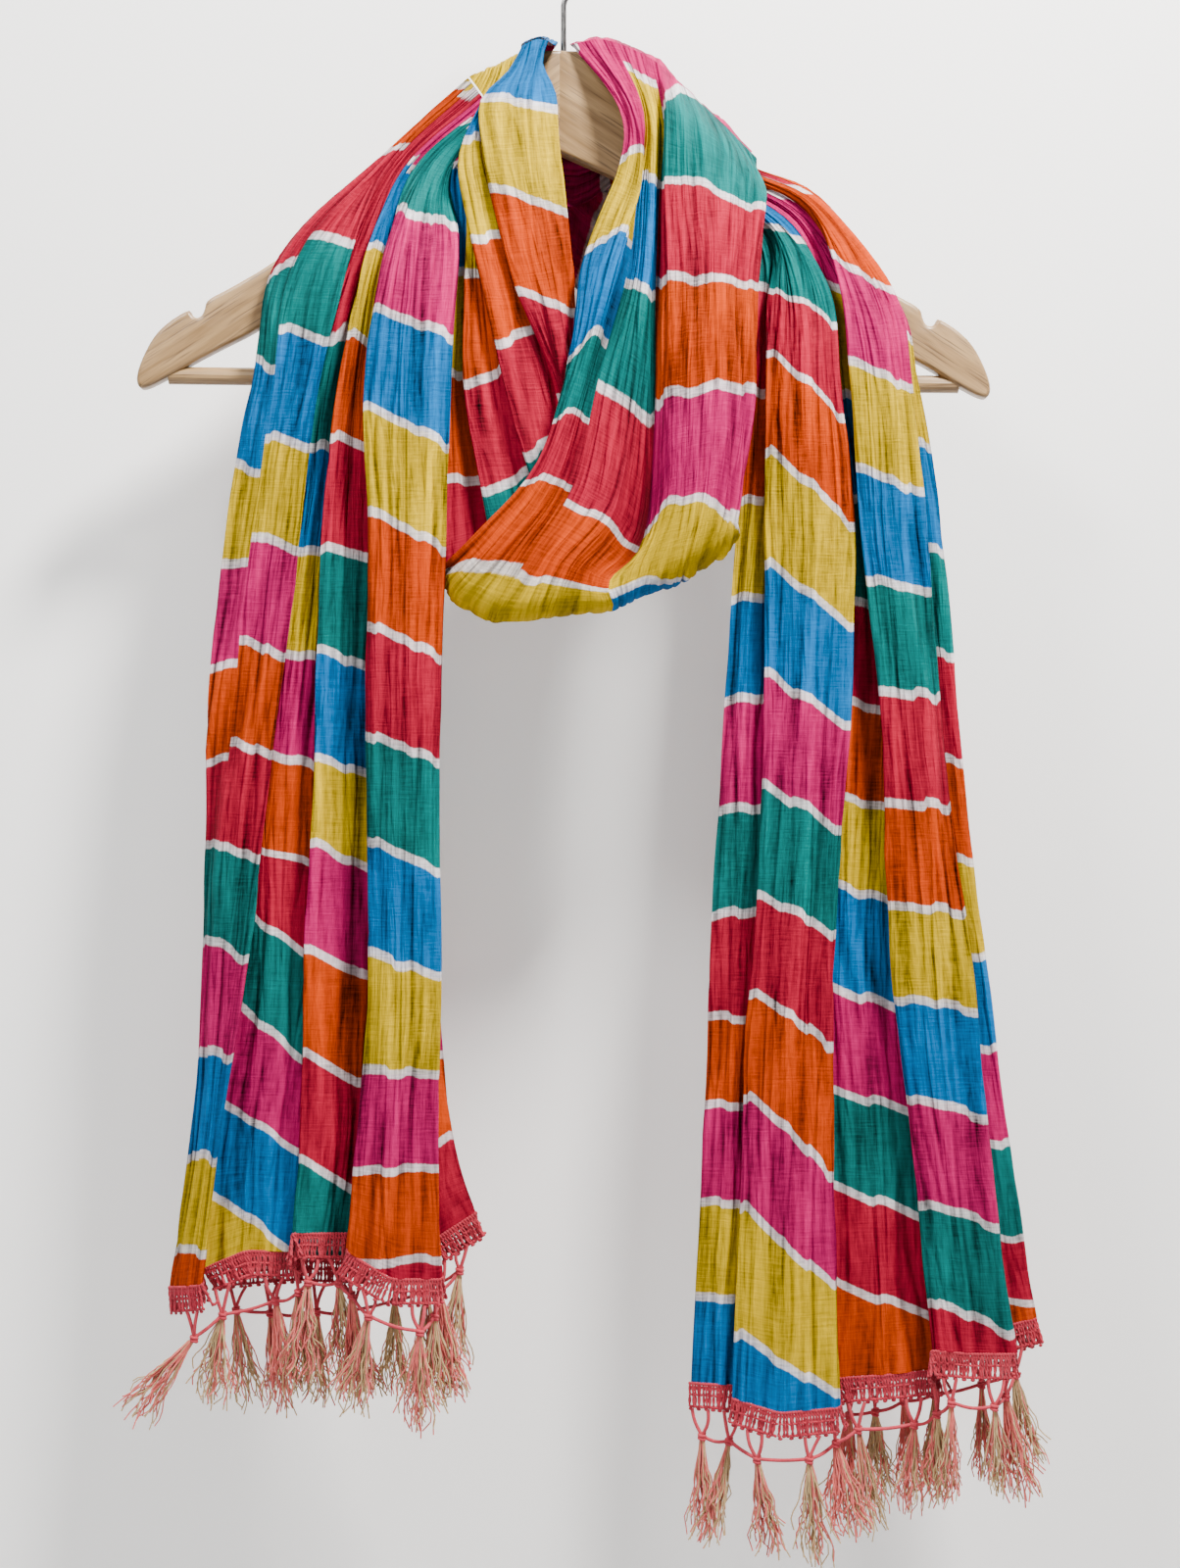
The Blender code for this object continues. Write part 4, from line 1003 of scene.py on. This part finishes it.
loop_left = wound_cloth("loop_left_cloth", "loop_left", LEFT_LOOP, 31, folds=LEFT_LOOP_FOLDS,
                        facets=LOOP_FACETS)
loop_right = wound_cloth("loop_right_cloth", "loop_right", RIGHT_LOOP, 43, folds=RIGHT_LOOP_FOLDS,
                         bands=RIGHT_LOOP_BANDS, tucks=RIGHT_LOOP_TUCKS, mirrored=True)
loop_strand = wound_cloth("loop_strand_cloth", "strand_from_loop", LOOP_STRAND, 53,
                          bands=strand_bands(LOOP_STRAND_BANDS))
tail_strand = wound_cloth("tail_strand_cloth", "strand_from_tail", TAIL_STRAND, 67,
                          bands=strand_bands(TAIL_STRAND_BANDS))

# %% [markdown]
# ## Three trees for yarn work
#
# Lace and fringe are a few stitches, cords and tassels many times over, so Geometry Nodes make
# them. One tree turns any drawn line into a cord of even thickness. Another crochets the lace
# along the hem. A third hangs tassels on points. Each ends in real faces with a material, which
# are then copied to a plain mesh.

# %% Helpers for the trees
def new_tree(name, sockets):
    sockets = [("Geometry", "Geometry"), *sockets]
    return new_group(name, "GeometryNodeTree", sockets, [("Geometry", "Geometry")])


def joined(tree, *parts):
    node = tree.nodes.new("GeometryNodeJoinGeometry")
    for part in parts:
        put(node.inputs[0], part)
    return node.outputs[0]


def copied(tree, points, piece, turn, **more):
    """A piece at each point, turned with it."""
    return step(tree, "GeometryNodeInstanceOnPoints", points, Instance=piece, Rotation=turn, **more)


def plain_mesh(source):
    """What an object looks like with its modifiers done, and the object gone."""
    graph = bpy.context.evaluated_depsgraph_get()
    mesh = bpy.data.meshes.new_from_object(source.evaluated_get(graph))
    bpy.data.objects.remove(source)
    return mesh


def grown(name, source, tree, values):
    """Plain mesh object that a tree grows from a source mesh."""
    carrier = add_object(name + "_source", source)
    modifier = carrier.modifiers.new("grow", "NODES")
    modifier.node_group = tree
    for socket in tree.interface.items_tree:
        if socket.in_out == "INPUT" and socket.name in values:
            modifier[socket.identifier] = values[socket.name]
    mesh = plain_mesh(carrier)
    mesh.name = name
    print(f"{name}: {len(mesh.polygons)} faces")
    return add_object(name, mesh)


def line_mesh(name, lines):
    """Edges along each line of points, in metres."""
    points = [tuple(point) for line in lines for point in line]
    edges = []
    first = 0
    for line in lines:
        edges += [(first + index, first + index + 1) for index in range(len(line) - 1)]
        first += len(line)
    mesh = bpy.data.meshes.new(name)
    mesh.from_pydata(points, edges, [])
    return mesh


# %% Tree: a cord along a line
cord_tree, start, end = new_tree(
    "cord along a line", [("Radius", "Float"), ("Sides", "Int"), ("Material", "Material")]
)
path = step(cord_tree, "GeometryNodeMeshToCurve", start.outputs["Geometry"])
ring = step(cord_tree, "GeometryNodeCurvePrimitiveCircle", Resolution=start.outputs["Sides"],
            Radius=start.outputs["Radius"])
cord = step(cord_tree, "GeometryNodeCurveToMesh", path, ring, Fill_Caps=True)
cord = step(cord_tree, "GeometryNodeSetShadeSmooth", cord)
cord = step(cord_tree, "GeometryNodeSetMaterial", cord, Material=start.outputs["Material"])
put(end.inputs[0], cord)

# %% Tree: crocheted lace along the hem, and its stitches
lace_tree, start, end = new_tree(
    "crocheted lace",
    [("Pitch", "Float"), ("Yarn", "Float"), ("Upper Row", "Float"), ("Lower Row", "Float"),
     ("Material", "Material")],
)
hem_curve = step(lace_tree, "GeometryNodeMeshToCurve", start.outputs["Geometry"])
PICOT_PITCH = 4.4 * MM
PICOT = (13.6, 0.0, (1.35, 0.6, 0.85))
TWIST_RADIUS = 0.34 * MM
STITCHES = (
    # how far below the hem in millimetres, lean, size
    (0.6, 0.5, (1.1, 0.8, 0.95)),
    (2.4, -0.4, (1.0, 0.5, 0.8)),
    (6.3, -0.4, (1.0, 0.85, 0.7)),
    (12.3, 0.45, (1.1, 0.8, 0.85)),
)


def along_hem(pitch):
    """Points a pitch apart on the hem, and the turn that lays a stitch along it and upright."""
    points = step(lace_tree, "GeometryNodeResampleCurve", hem_curve, Length=pitch,
                  settings={"mode": "LENGTH"})
    tangent = step(lace_tree, "GeometryNodeInputTangent")
    turn = step(lace_tree, "FunctionNodeAlignRotationToVector", Vector=tangent, settings={"axis": "X"})
    turn = step(lace_tree, "FunctionNodeAlignRotationToVector", turn, Vector=(0.0, 0.0, 1.0),
                settings={"axis": "Z", "pivot_axis": "X"})
    return points, turn


def twisted_bar(height, radius):
    """Two yarns wound round each other, which hang down by the height."""
    spiral = step(lace_tree, "GeometryNodeCurveSpiral", Resolution=8, Rotations=0.75,
                  Start_Radius=TWIST_RADIUS, End_Radius=TWIST_RADIUS, Height=height)
    ring = step(lace_tree, "GeometryNodeCurvePrimitiveCircle", Resolution=4, Radius=radius)
    yarn = step(lace_tree, "GeometryNodeCurveToMesh", spiral, ring)
    other = step(lace_tree, "GeometryNodeTransform", yarn, Rotation=(0.0, 0.0, math.pi))
    return joined(lace_tree, yarn, other)


def lowered(geometry, depth, lean=0.0, size=(1.0, 1.0, 1.0)):
    return step(lace_tree, "GeometryNodeTransform", geometry, Translation=(0.0, 0.0, -depth * MM),
                Rotation=(0.0, lean, 0.0), Scale=size)


# %% The lace from its stitches
points, turn = along_hem(start.outputs["Pitch"])
wobble = step(lace_tree, "FunctionNodeRandomValue", settings={"data_type": "FLOAT_VECTOR"},
              Min=(-0.08, -0.1, -0.3), Max=(0.08, 0.1, 0.3), Seed=4)
wobble = step(lace_tree, "FunctionNodeEulerToRotation", wobble)
uneven = step(lace_tree, "FunctionNodeRotateRotation", turn, wobble, settings={"rotation_space": "LOCAL"})
lace_rows = []
for label, depth in (("Upper Row", 6.0), ("Lower Row", 12.6)):
    bar = lowered(twisted_bar(start.outputs[label], start.outputs["Yarn"]), depth)
    lace_rows.append(copied(lace_tree, points, bar, uneven))
drop = step(lace_tree, "GeometryNodeMeshUVSphere", 6, 4, 1.0 * MM)
for stitch in STITCHES:
    lace_rows.append(copied(lace_tree, points, lowered(drop, *stitch), turn))
points, turn = along_hem(PICOT_PITCH)
lace_rows.append(copied(lace_tree, points, lowered(drop, *PICOT), turn))
lace = step(lace_tree, "GeometryNodeRealizeInstances", joined(lace_tree, *lace_rows))
lace = step(lace_tree, "GeometryNodeSetShadeSmooth", lace)
lace = step(lace_tree, "GeometryNodeSetMaterial", lace, Material=start.outputs["Material"])
put(end.inputs[0], lace)

# %% Tree: tassels on points
tassel_tree, start, end = new_tree("tassels on points", [("Tassels", "Collection"), ("Material", "Material")])


def point_value(name, kind):
    return step(tassel_tree, "GeometryNodeInputNamedAttribute", name, settings={"data_type": kind})


choice = step(tassel_tree, "GeometryNodeCollectionInfo", start.outputs["Tassels"], Separate_Children=True,
              Reset_Children=True)
turn = step(tassel_tree, "FunctionNodeEulerToRotation", point_value("turn", "FLOAT_VECTOR"))
hung = copied(tassel_tree, start.outputs["Geometry"], choice, turn, Pick_Instance=True,
              Instance_Index=point_value("variant", "INT"), Scale=point_value("size", "FLOAT_VECTOR"))
hung = step(tassel_tree, "GeometryNodeRealizeInstances", hung)
hung = step(tassel_tree, "GeometryNodeSetMaterial", hung, Material=start.outputs["Material"])
put(end.inputs[0], hung)
print("trees", [tree.name for tree in (cord_tree, lace_tree, tassel_tree)])

# %% [markdown]
# ## Yarn's finish
#
# Lace and ties are soft coral cotton, and the tassels' loose yarn is coral pink or beige by
# turns. A number on the mesh says which. Yarn is not evenly lit: its plies catch the light,
# so fine noise paints light and shade along them, a coarser noise varies the tone, and a bump
# makes the plies.

# %% Lace and yarn materials
CORAL = (0.36, 0.018, 0.036)
SOFT_CORAL = (0.44, 0.036, 0.055)
PALE_CORAL = (0.60, 0.115, 0.10)
BEIGE = (0.47, 0.315, 0.15)


def yarn_material(name, colour, other=None):
    material, tree, shader = new_material(name)
    place = object_place(tree)
    if other:
        share = maths(tree, "ABSOLUTE", minus(tree, attribute(tree, "beige"), attribute(tree, "odd_yarn")))
        colour = mix_colour(tree, share, colour, other)
    # The fine noise is painted light and shade along the plies; the coarser patches are the yarn's uneven
    # tone.
    ply = noise(tree, stretched(tree, place, (1.0, 1.0, 0.45)), 1500.0, 3.0, 0.6)
    patch = noise(tree, place, 120.0, 3.0)
    tone = plus(tree, plus(tree, times(tree, ply, 0.8), times(tree, patch, 0.7)), 0.27)
    put(shader.inputs["Base Color"], toned(tree, colour, tone))
    add_bump(tree, shader, ply, 0.6, 0.3)
    fill(shader, Roughness=0.75, Specular_IOR_Level=0.2, Sheen_Weight=0.1)
    return material


lace_yarn = yarn_material("coral_crochet_cotton", CORAL)
tie_yarn = yarn_material("soft_coral_cord", SOFT_CORAL)
tassel_yarn = yarn_material("loose_tassel_yarn", PALE_CORAL, BEIGE)

# %% [markdown]
# ## Tassels
#
# A tassel is a knot wound from the tie, with about forty yarns below it that spread, wave and
# end at different lengths. Six tassels drawn by rule, each from its own seed, are enough: every
# place turns and stretches its copy in another way.

# %% Six tassels to choose from
TASSEL_KINDS = 6
TASSEL_LENGTH = 46.0
YARNS = 42
YARN_STEPS = 11
YARN_SPREAD = 9.5
YARN_RADIUS = 0.40 * MM
STRAY_SHARE = 0.12  # share of the yarns that spread further
ODD_SHARE = 0.34  # share of the yarns that have the other colour


def tassel_yarns(seed):
    """Lines of the yarns below a knot at the origin, and which of them have the other colour."""
    rng = np.random.default_rng(seed)
    lines = []
    odd = []
    down = np.linspace(0.0, 1.0, YARN_STEPS)
    for _ in range(YARNS):
        angle = rng.uniform(0.0, 2 * math.pi)
        spread = YARN_SPREAD * rng.uniform(0.05, 1.0) ** 0.8
        if rng.uniform() < STRAY_SHARE:
            spread *= 1.6
        length = TASSEL_LENGTH * rng.uniform(0.7, 1.12)
        wave = rng.uniform(0.8, 2.3)
        turns = rng.uniform(1.2, 3.0)
        phase = rng.uniform(0.0, 2 * math.pi)
        hook = rng.uniform(-4.0, 4.0)
        out = 1.3 + spread * down**1.15
        sway = wave * down * np.sin(2 * math.pi * turns * down + phase)
        x = out * math.cos(angle) + sway + hook * down**4
        y = 0.5 * out * math.sin(angle) + 0.6 * wave * down * np.cos(2 * math.pi * turns * down)
        z = -2.5 - length * down + 0.012 * spread * length * down**2 * 0.5
        lines.append(np.stack([x, y, z], axis=1) * MM)
        odd.append(float(rng.uniform() < ODD_SHARE))
    return lines, odd


tassel_kinds = bpy.data.collections.new("tassel_kinds")
for seed in range(TASSEL_KINDS):
    lines, odd = tassel_yarns(100 + seed)
    source = line_mesh("yarns", lines)
    add_layer(source, "odd_yarn", "FLOAT", "POINT", np.repeat(odd, YARN_STEPS))
    tassel = grown(f"tassel_{seed}", source, cord_tree,
                   {"Radius": YARN_RADIUS, "Sides": 3, "Material": tassel_yarn})
    tassel_kinds.objects.link(tassel)
    bpy.context.scene.collection.objects.unlink(tassel)

# %% [markdown]
# ## Lace and fringe on the hems
#
# The lace is sewn to the hem and follows it. Below it each tassel hangs from two soft ties that
# meet in its knot, and short ties link neighbouring knots, which gives the open net. Tassels
# hang only where the hem runs straight for a few millimetres, as on the solids.

# %% Places of the tassels
LACE_HEIGHT = 14.0
TIE_DROP = 13.0
TIE_RADIUS = 0.95 * MM
TASSEL_PITCH = 17.0
TASSEL_ROOM = 7.0
TASSEL_CLEAR = 7.5
LINK_MOST = 30.0  # farthest that two linked knots lie apart
ASKEW = (0.0, 0.7, 0.2)  # how the left end's outermost tassel is turned


def tassel_places(hem, spans):
    """Middle and direction of each tassel's stretch of the hem."""
    places = []
    for (_, begin), (end, _) in zip(spans, spans[1:]):
        start, stop = hem[begin], hem[end]
        length = np.linalg.norm(stop - start) / MM
        count = max(1, round(length / TASSEL_PITCH)) if length > TASSEL_ROOM else 0
        for index in range(count):
            centre = start + (stop - start) * (index + 0.5) / count
            if all(np.linalg.norm((centre - other)[:2]) > TASSEL_CLEAR * MM for other, _ in places):
                places.append((centre, (stop - start) / np.linalg.norm(stop - start)))
    return places


# %% Knots and ties
def knot_line():
    """A tie wound twice round the yarns."""
    turn = np.linspace(0.0, 4.4 * math.pi, 26)
    radius = 1.35 + 0.25 * np.sin(turn / 4)
    return np.stack([radius * np.cos(turn), radius * np.sin(turn), 1.2 - 3.6 * turn / turn[-1]], axis=1) * MM


def bowed(start, stop, bow, count=7):
    """A soft line from start to stop that bows by a vector in its middle."""
    share = np.linspace(0.0, 1.0, count)[:, None]
    return start + (stop - start) * share + np.array(bow) * MM * np.sin(math.pi * share)


# %% Ties, links and tassels of one end
def fringe(side, hem, spans, seed):
    rng = np.random.default_rng(seed)
    ties = []
    knots = []
    turns = []
    for centre, along in tassel_places(hem, spans):
        knot = centre + np.array([rng.uniform(-1.5, 1.5), rng.uniform(-0.8, 0.8), 0.0]) * MM
        knot[2] -= (LACE_HEIGHT + TIE_DROP * rng.uniform(0.8, 1.12)) * MM
        for hand in (-1.0, 1.0):
            top = centre + along * hand * rng.uniform(3.0, 4.8) * MM
            top[2] -= (LACE_HEIGHT - 0.6) * MM
            ties.append(bowed(top, knot, (hand * rng.uniform(-0.4, 1.6), rng.uniform(-0.8, 0.2), 0.0)))
        knots.append(knot)
        turns.append((rng.uniform(-0.1, 0.1), rng.uniform(-0.2, 0.2), rng.uniform(-0.5, 0.5)))
    if side == "left":
        turns[0] = ASKEW
    for knot, after in zip(knots, knots[1:]):
        if np.linalg.norm(after - knot) < LINK_MOST * MM:
            ties.append(bowed(knot, after, (0.0, rng.uniform(-1.0, 0.5), rng.uniform(-2.2, -0.3)), 9))
    ties += [knot_line() + knot for knot in knots]
    net = grown(f"{side}_ties", line_mesh("ties", ties), cord_tree,
                {"Radius": TIE_RADIUS, "Sides": 6, "Material": tie_yarn})
    points = bpy.data.meshes.new("knots")
    points.from_pydata([tuple(knot) for knot in knots], [], [])
    add_layer(points, "beige", "FLOAT", "POINT", [float(index % 2) for index in range(len(knots))])
    add_layer(points, "variant", "INT", "POINT", rng.integers(0, TASSEL_KINDS, len(knots)).tolist())
    add_layer(points, "turn", "FLOAT_VECTOR", "POINT", np.array(turns).reshape(-1), "vector")
    sizes = [(rng.uniform(0.8, 1.25), 1.0, rng.uniform(0.9, 1.1)) for _ in knots]
    add_layer(points, "size", "FLOAT_VECTOR", "POINT", np.array(sizes).reshape(-1), "vector")
    tassels = grown(f"{side}_tassels", points, tassel_tree,
                    {"Tassels": tassel_kinds, "Material": tassel_yarn})
    for piece in (net, tassels):
        dress(piece, f"{side}_fringe")
    print(f"{side}: {len(knots)} tassels")
    return [net, tassels]


# %% Lace and fringe of both ends
def lace_strip(side, hem):
    strip = grown(f"{side}_lace_strip", line_mesh("hem", [hem]), lace_tree, {
        "Pitch": 1.5 * MM, "Yarn": 0.56 * MM, "Upper Row": 5.4 * MM, "Lower Row": 6.2 * MM,
        "Material": lace_yarn,
    })
    dress(strip, f"{side}_lace")
    return strip


for side, hem, spans, seed in (("left", left_hem, left_spans, 5), ("right", right_hem, right_spans, 9)):
    [lace_strip(side, hem)] + fringe(side, hem, spans, seed)
for kind in list(tassel_kinds.objects):
    bpy.data.objects.remove(kind)
bpy.data.collections.remove(tassel_kinds)

# %% How many sheets of cloth there are
print("cloth sheets: 6")

# %% [markdown]
# ## The wooden hanger
#
# The hanger is pale wood under a satin varnish: two arms joined under the hook, with softly
# rounded edges, a strap notch near each end, and a round bar. The arms are drawn again as flat
# outlines with rounded edges, since their form is seen best in the light along the edge. The
# grain runs along each arm, so its pattern is turned by the arm's slope.

# %% Wood grain
DARK_WOOD = (0.18, 0.098, 0.034)
PALE_WOOD = (0.33, 0.20, 0.085)
PORE = (0.06, 0.026, 0.01)
GRAIN_DRIFT = 0.03  # how far the grain wanders, in metres


def wood_grain_group():
    group, start, end = new_group(
        "wood grain", "ShaderNodeTree", [("Vector", "Vector")], [("Color", "Color"), ("Height", "Float")]
    )
    vector = start.outputs["Vector"]
    drift = group.nodes.new("ShaderNodeTexNoise")
    fill(drift, Vector=stretched(group, vector, (0.35, 1.0, 1.0)), Scale=14.0, Detail=2.0)
    small = step(group, "ShaderNodeVectorMath", drift.outputs["Color"], Scale=GRAIN_DRIFT,
                 settings={"operation": "SCALE"})
    bent = step(group, "ShaderNodeVectorMath", vector, small, settings={"operation": "ADD"})
    rings = noise(group, stretched(group, bent, (0.06, 1.0, 1.0)), 160.0, 4.0, 0.62)
    pores = noise(group, stretched(group, vector, (0.035, 1.0, 1.0)), 1100.0, 2.0, 0.5)
    flecks = times(group, minus(group, pores, 0.56), 8.0, clamp=True)
    wood = colour_ramp(group, rings, [(0.36, DARK_WOOD), (0.6, PALE_WOOD)])
    put(end.inputs["Color"], mix_colour(group, times(group, flecks, 0.7), wood, PORE))
    put(end.inputs["Height"], minus(group, times(group, rings, 0.3), flecks))
    return group


wood_grain = wood_grain_group()


def varnished_wood(name, slope):
    """Wood whose grain runs at an angle below the level line, in the hanger's plane."""
    material, tree, shader = new_material(name)
    turned = step(tree, "ShaderNodeMapping", Vector=object_place(tree), Rotation=(0.0, -slope, 0.0))
    grain = place_group(tree, wood_grain, Vector=turned)
    put(shader.inputs["Base Color"], grain.outputs["Color"])
    add_bump(tree, shader, grain.outputs["Height"], 0.25, 0.2)
    fill(shader, Roughness=0.42, Coat_Weight=0.2, Coat_Roughness=0.25)
    return material


# %% Outline of an arm
WOOD_THICK = 12.0
EDGE_ROUND = 2.2
WOOD_TOP = -75.5
WOOD_LOW = -128.0
TILT = 0.0115  # how much lower the hanger hangs for each millimetre to the right
ARM_SLOPE = math.radians(33)
SHARP_EDGE = math.radians(35)
CORNER_CUTS = 2
JOINT_X = -2.0
JOINT_CLOSE = 1.9  # how far each arm's rounded end runs past the joint
ARM_OUTLINE = (
    (12, -75.8), (20, -79), (27, -85.3), (33, -93.5), (40, -101), (60, -117), (88, -139),
    (120, -164.5), (152, -188.5), (175, -202), (186, -207.5), (187, -213), (189, -216.5),
    (192, -217), (194, -214.5), (195, -212.5), (205, -218.5), (213, -226), (219, -237),
    (222.5, -247), (222, -252.5), (219, -254.5), (207, -248.5), (187, -236.5), (155, -220.5),
    (24, -140),
)


def softened(points):
    """Cuts the corners of an open line, which leaves its two ends where they are."""
    points = np.array(points, float)
    for _ in range(CORNER_CUTS):
        near = 0.75 * points[:-1] + 0.25 * points[1:]
        far = 0.25 * points[:-1] + 0.75 * points[1:]
        inner = np.stack([near, far], axis=1).reshape(-1, 2)
        points = np.concatenate([points[:1], inner[1:-1], points[-1:]])
    return points


# %% Arms with rounded edges and grain
def add_arm(name, node, side, material):
    middle = JOINT_X - side * JOINT_CLOSE
    line = [(side * x, z - TILT * side * x) for x, z in softened(ARM_OUTLINE)]
    outline = [(middle, WOOD_TOP), *line, (middle, WOOD_LOW)]
    curve = bpy.data.curves.new(name, "CURVE")
    curve.dimensions = "2D"
    curve.fill_mode = "BOTH"
    curve.extrude = (WOOD_THICK / 2 - EDGE_ROUND) * MM
    curve.bevel_depth = EDGE_ROUND * MM
    curve.bevel_resolution = 3
    curve.offset = -EDGE_ROUND * MM
    spline = curve.splines.new("POLY")
    spline.points.add(len(outline) - 1)
    for point, (x, z) in zip(spline.points, outline):
        point.co = (x * MM, z * MM, 0.0, 1.0)
    spline.use_cyclic_u = True
    mesh = plain_mesh(add_object(name + "_outline", curve))
    solid = bmesh.new()
    solid.from_mesh(mesh)
    bmesh.ops.remove_doubles(solid, verts=solid.verts, dist=0.01 * MM)
    bmesh.ops.rotate(solid, verts=solid.verts, matrix=Matrix.Rotation(math.pi / 2, 3, "X"))
    bmesh.ops.recalc_face_normals(solid, faces=solid.faces)
    solid.to_mesh(mesh)
    solid.free()
    mesh.shade_smooth()
    mesh.set_sharp_from_angle(angle=SHARP_EDGE)
    mesh.materials.clear()
    mesh.materials.append(material)
    dress(add_object(name, mesh), node)
    print(f"{name}: {len(mesh.polygons)} faces")


add_arm("left_wooden_arm", "arm_left", -1, varnished_wood("varnished_wood_left", -ARM_SLOPE))
add_arm("right_wooden_arm", "arm_right", 1, varnished_wood("varnished_wood_right", ARM_SLOPE))

# %% [markdown]
# ## Bar and hook
#
# The bar keeps its solid and only takes the wood. The hook is bent from steel wire 3 mm thick:
# a straight stem, a step to the side and a round bend that starts at the rail. A curve with a
# round section is the simplest wire.

# %% Wood of the bar
bar_wood = varnished_wood("varnished_wood_bar", 0.0)
for bar_slot in frame["nodes"]["bar"].material_slots:
    bar_slot.material = bar_wood

# %% Steel hook
DARK_STEEL = (0.13, 0.125, 0.12)
PALE_STEEL = (0.24, 0.235, 0.23)


def brushed_steel():
    material, tree, shader = new_material("hook_steel")
    scratches = noise(tree, stretched(tree, object_place(tree), (1.0, 1.0, 0.08)), 2500.0, 2.0)
    tone = mix_colour(tree, scratches, DARK_STEEL, PALE_STEEL)
    fill(shader, Base_Color=tone, Roughness=plus(tree, times(tree, scratches, 0.25), 0.16), Metallic=1.0)
    return material


WIRE_RADIUS = 1.5
HOOK_INSIDE = 19.0  # radius of the hook's inside, which rests on the rail
HOOK_BEND = HOOK_INSIDE + WIRE_RADIUS  # radius of the wire's middle line
STEM = ((0.0, -75.2), (0.0, -51.0), (0.6, -48.4), (2.5, -45.5), (8.0, -40.0), (14.0, -34.5))

angles = np.radians(np.arange(-30.0, 201.0, 6.0))
bend = [(HOOK_BEND * math.cos(angle), -HOOK_INSIDE + HOOK_BEND * math.sin(angle)) for angle in angles]
wire = grown(
    "steel_hook",
    line_mesh("wire", [[(x * MM, 0.0, z * MM) for x, z in (*STEM, *bend)]]),
    cord_tree,
    {"Radius": WIRE_RADIUS * MM, "Sides": 16, "Material": brushed_steel()},
)
dress(wire, "hook")
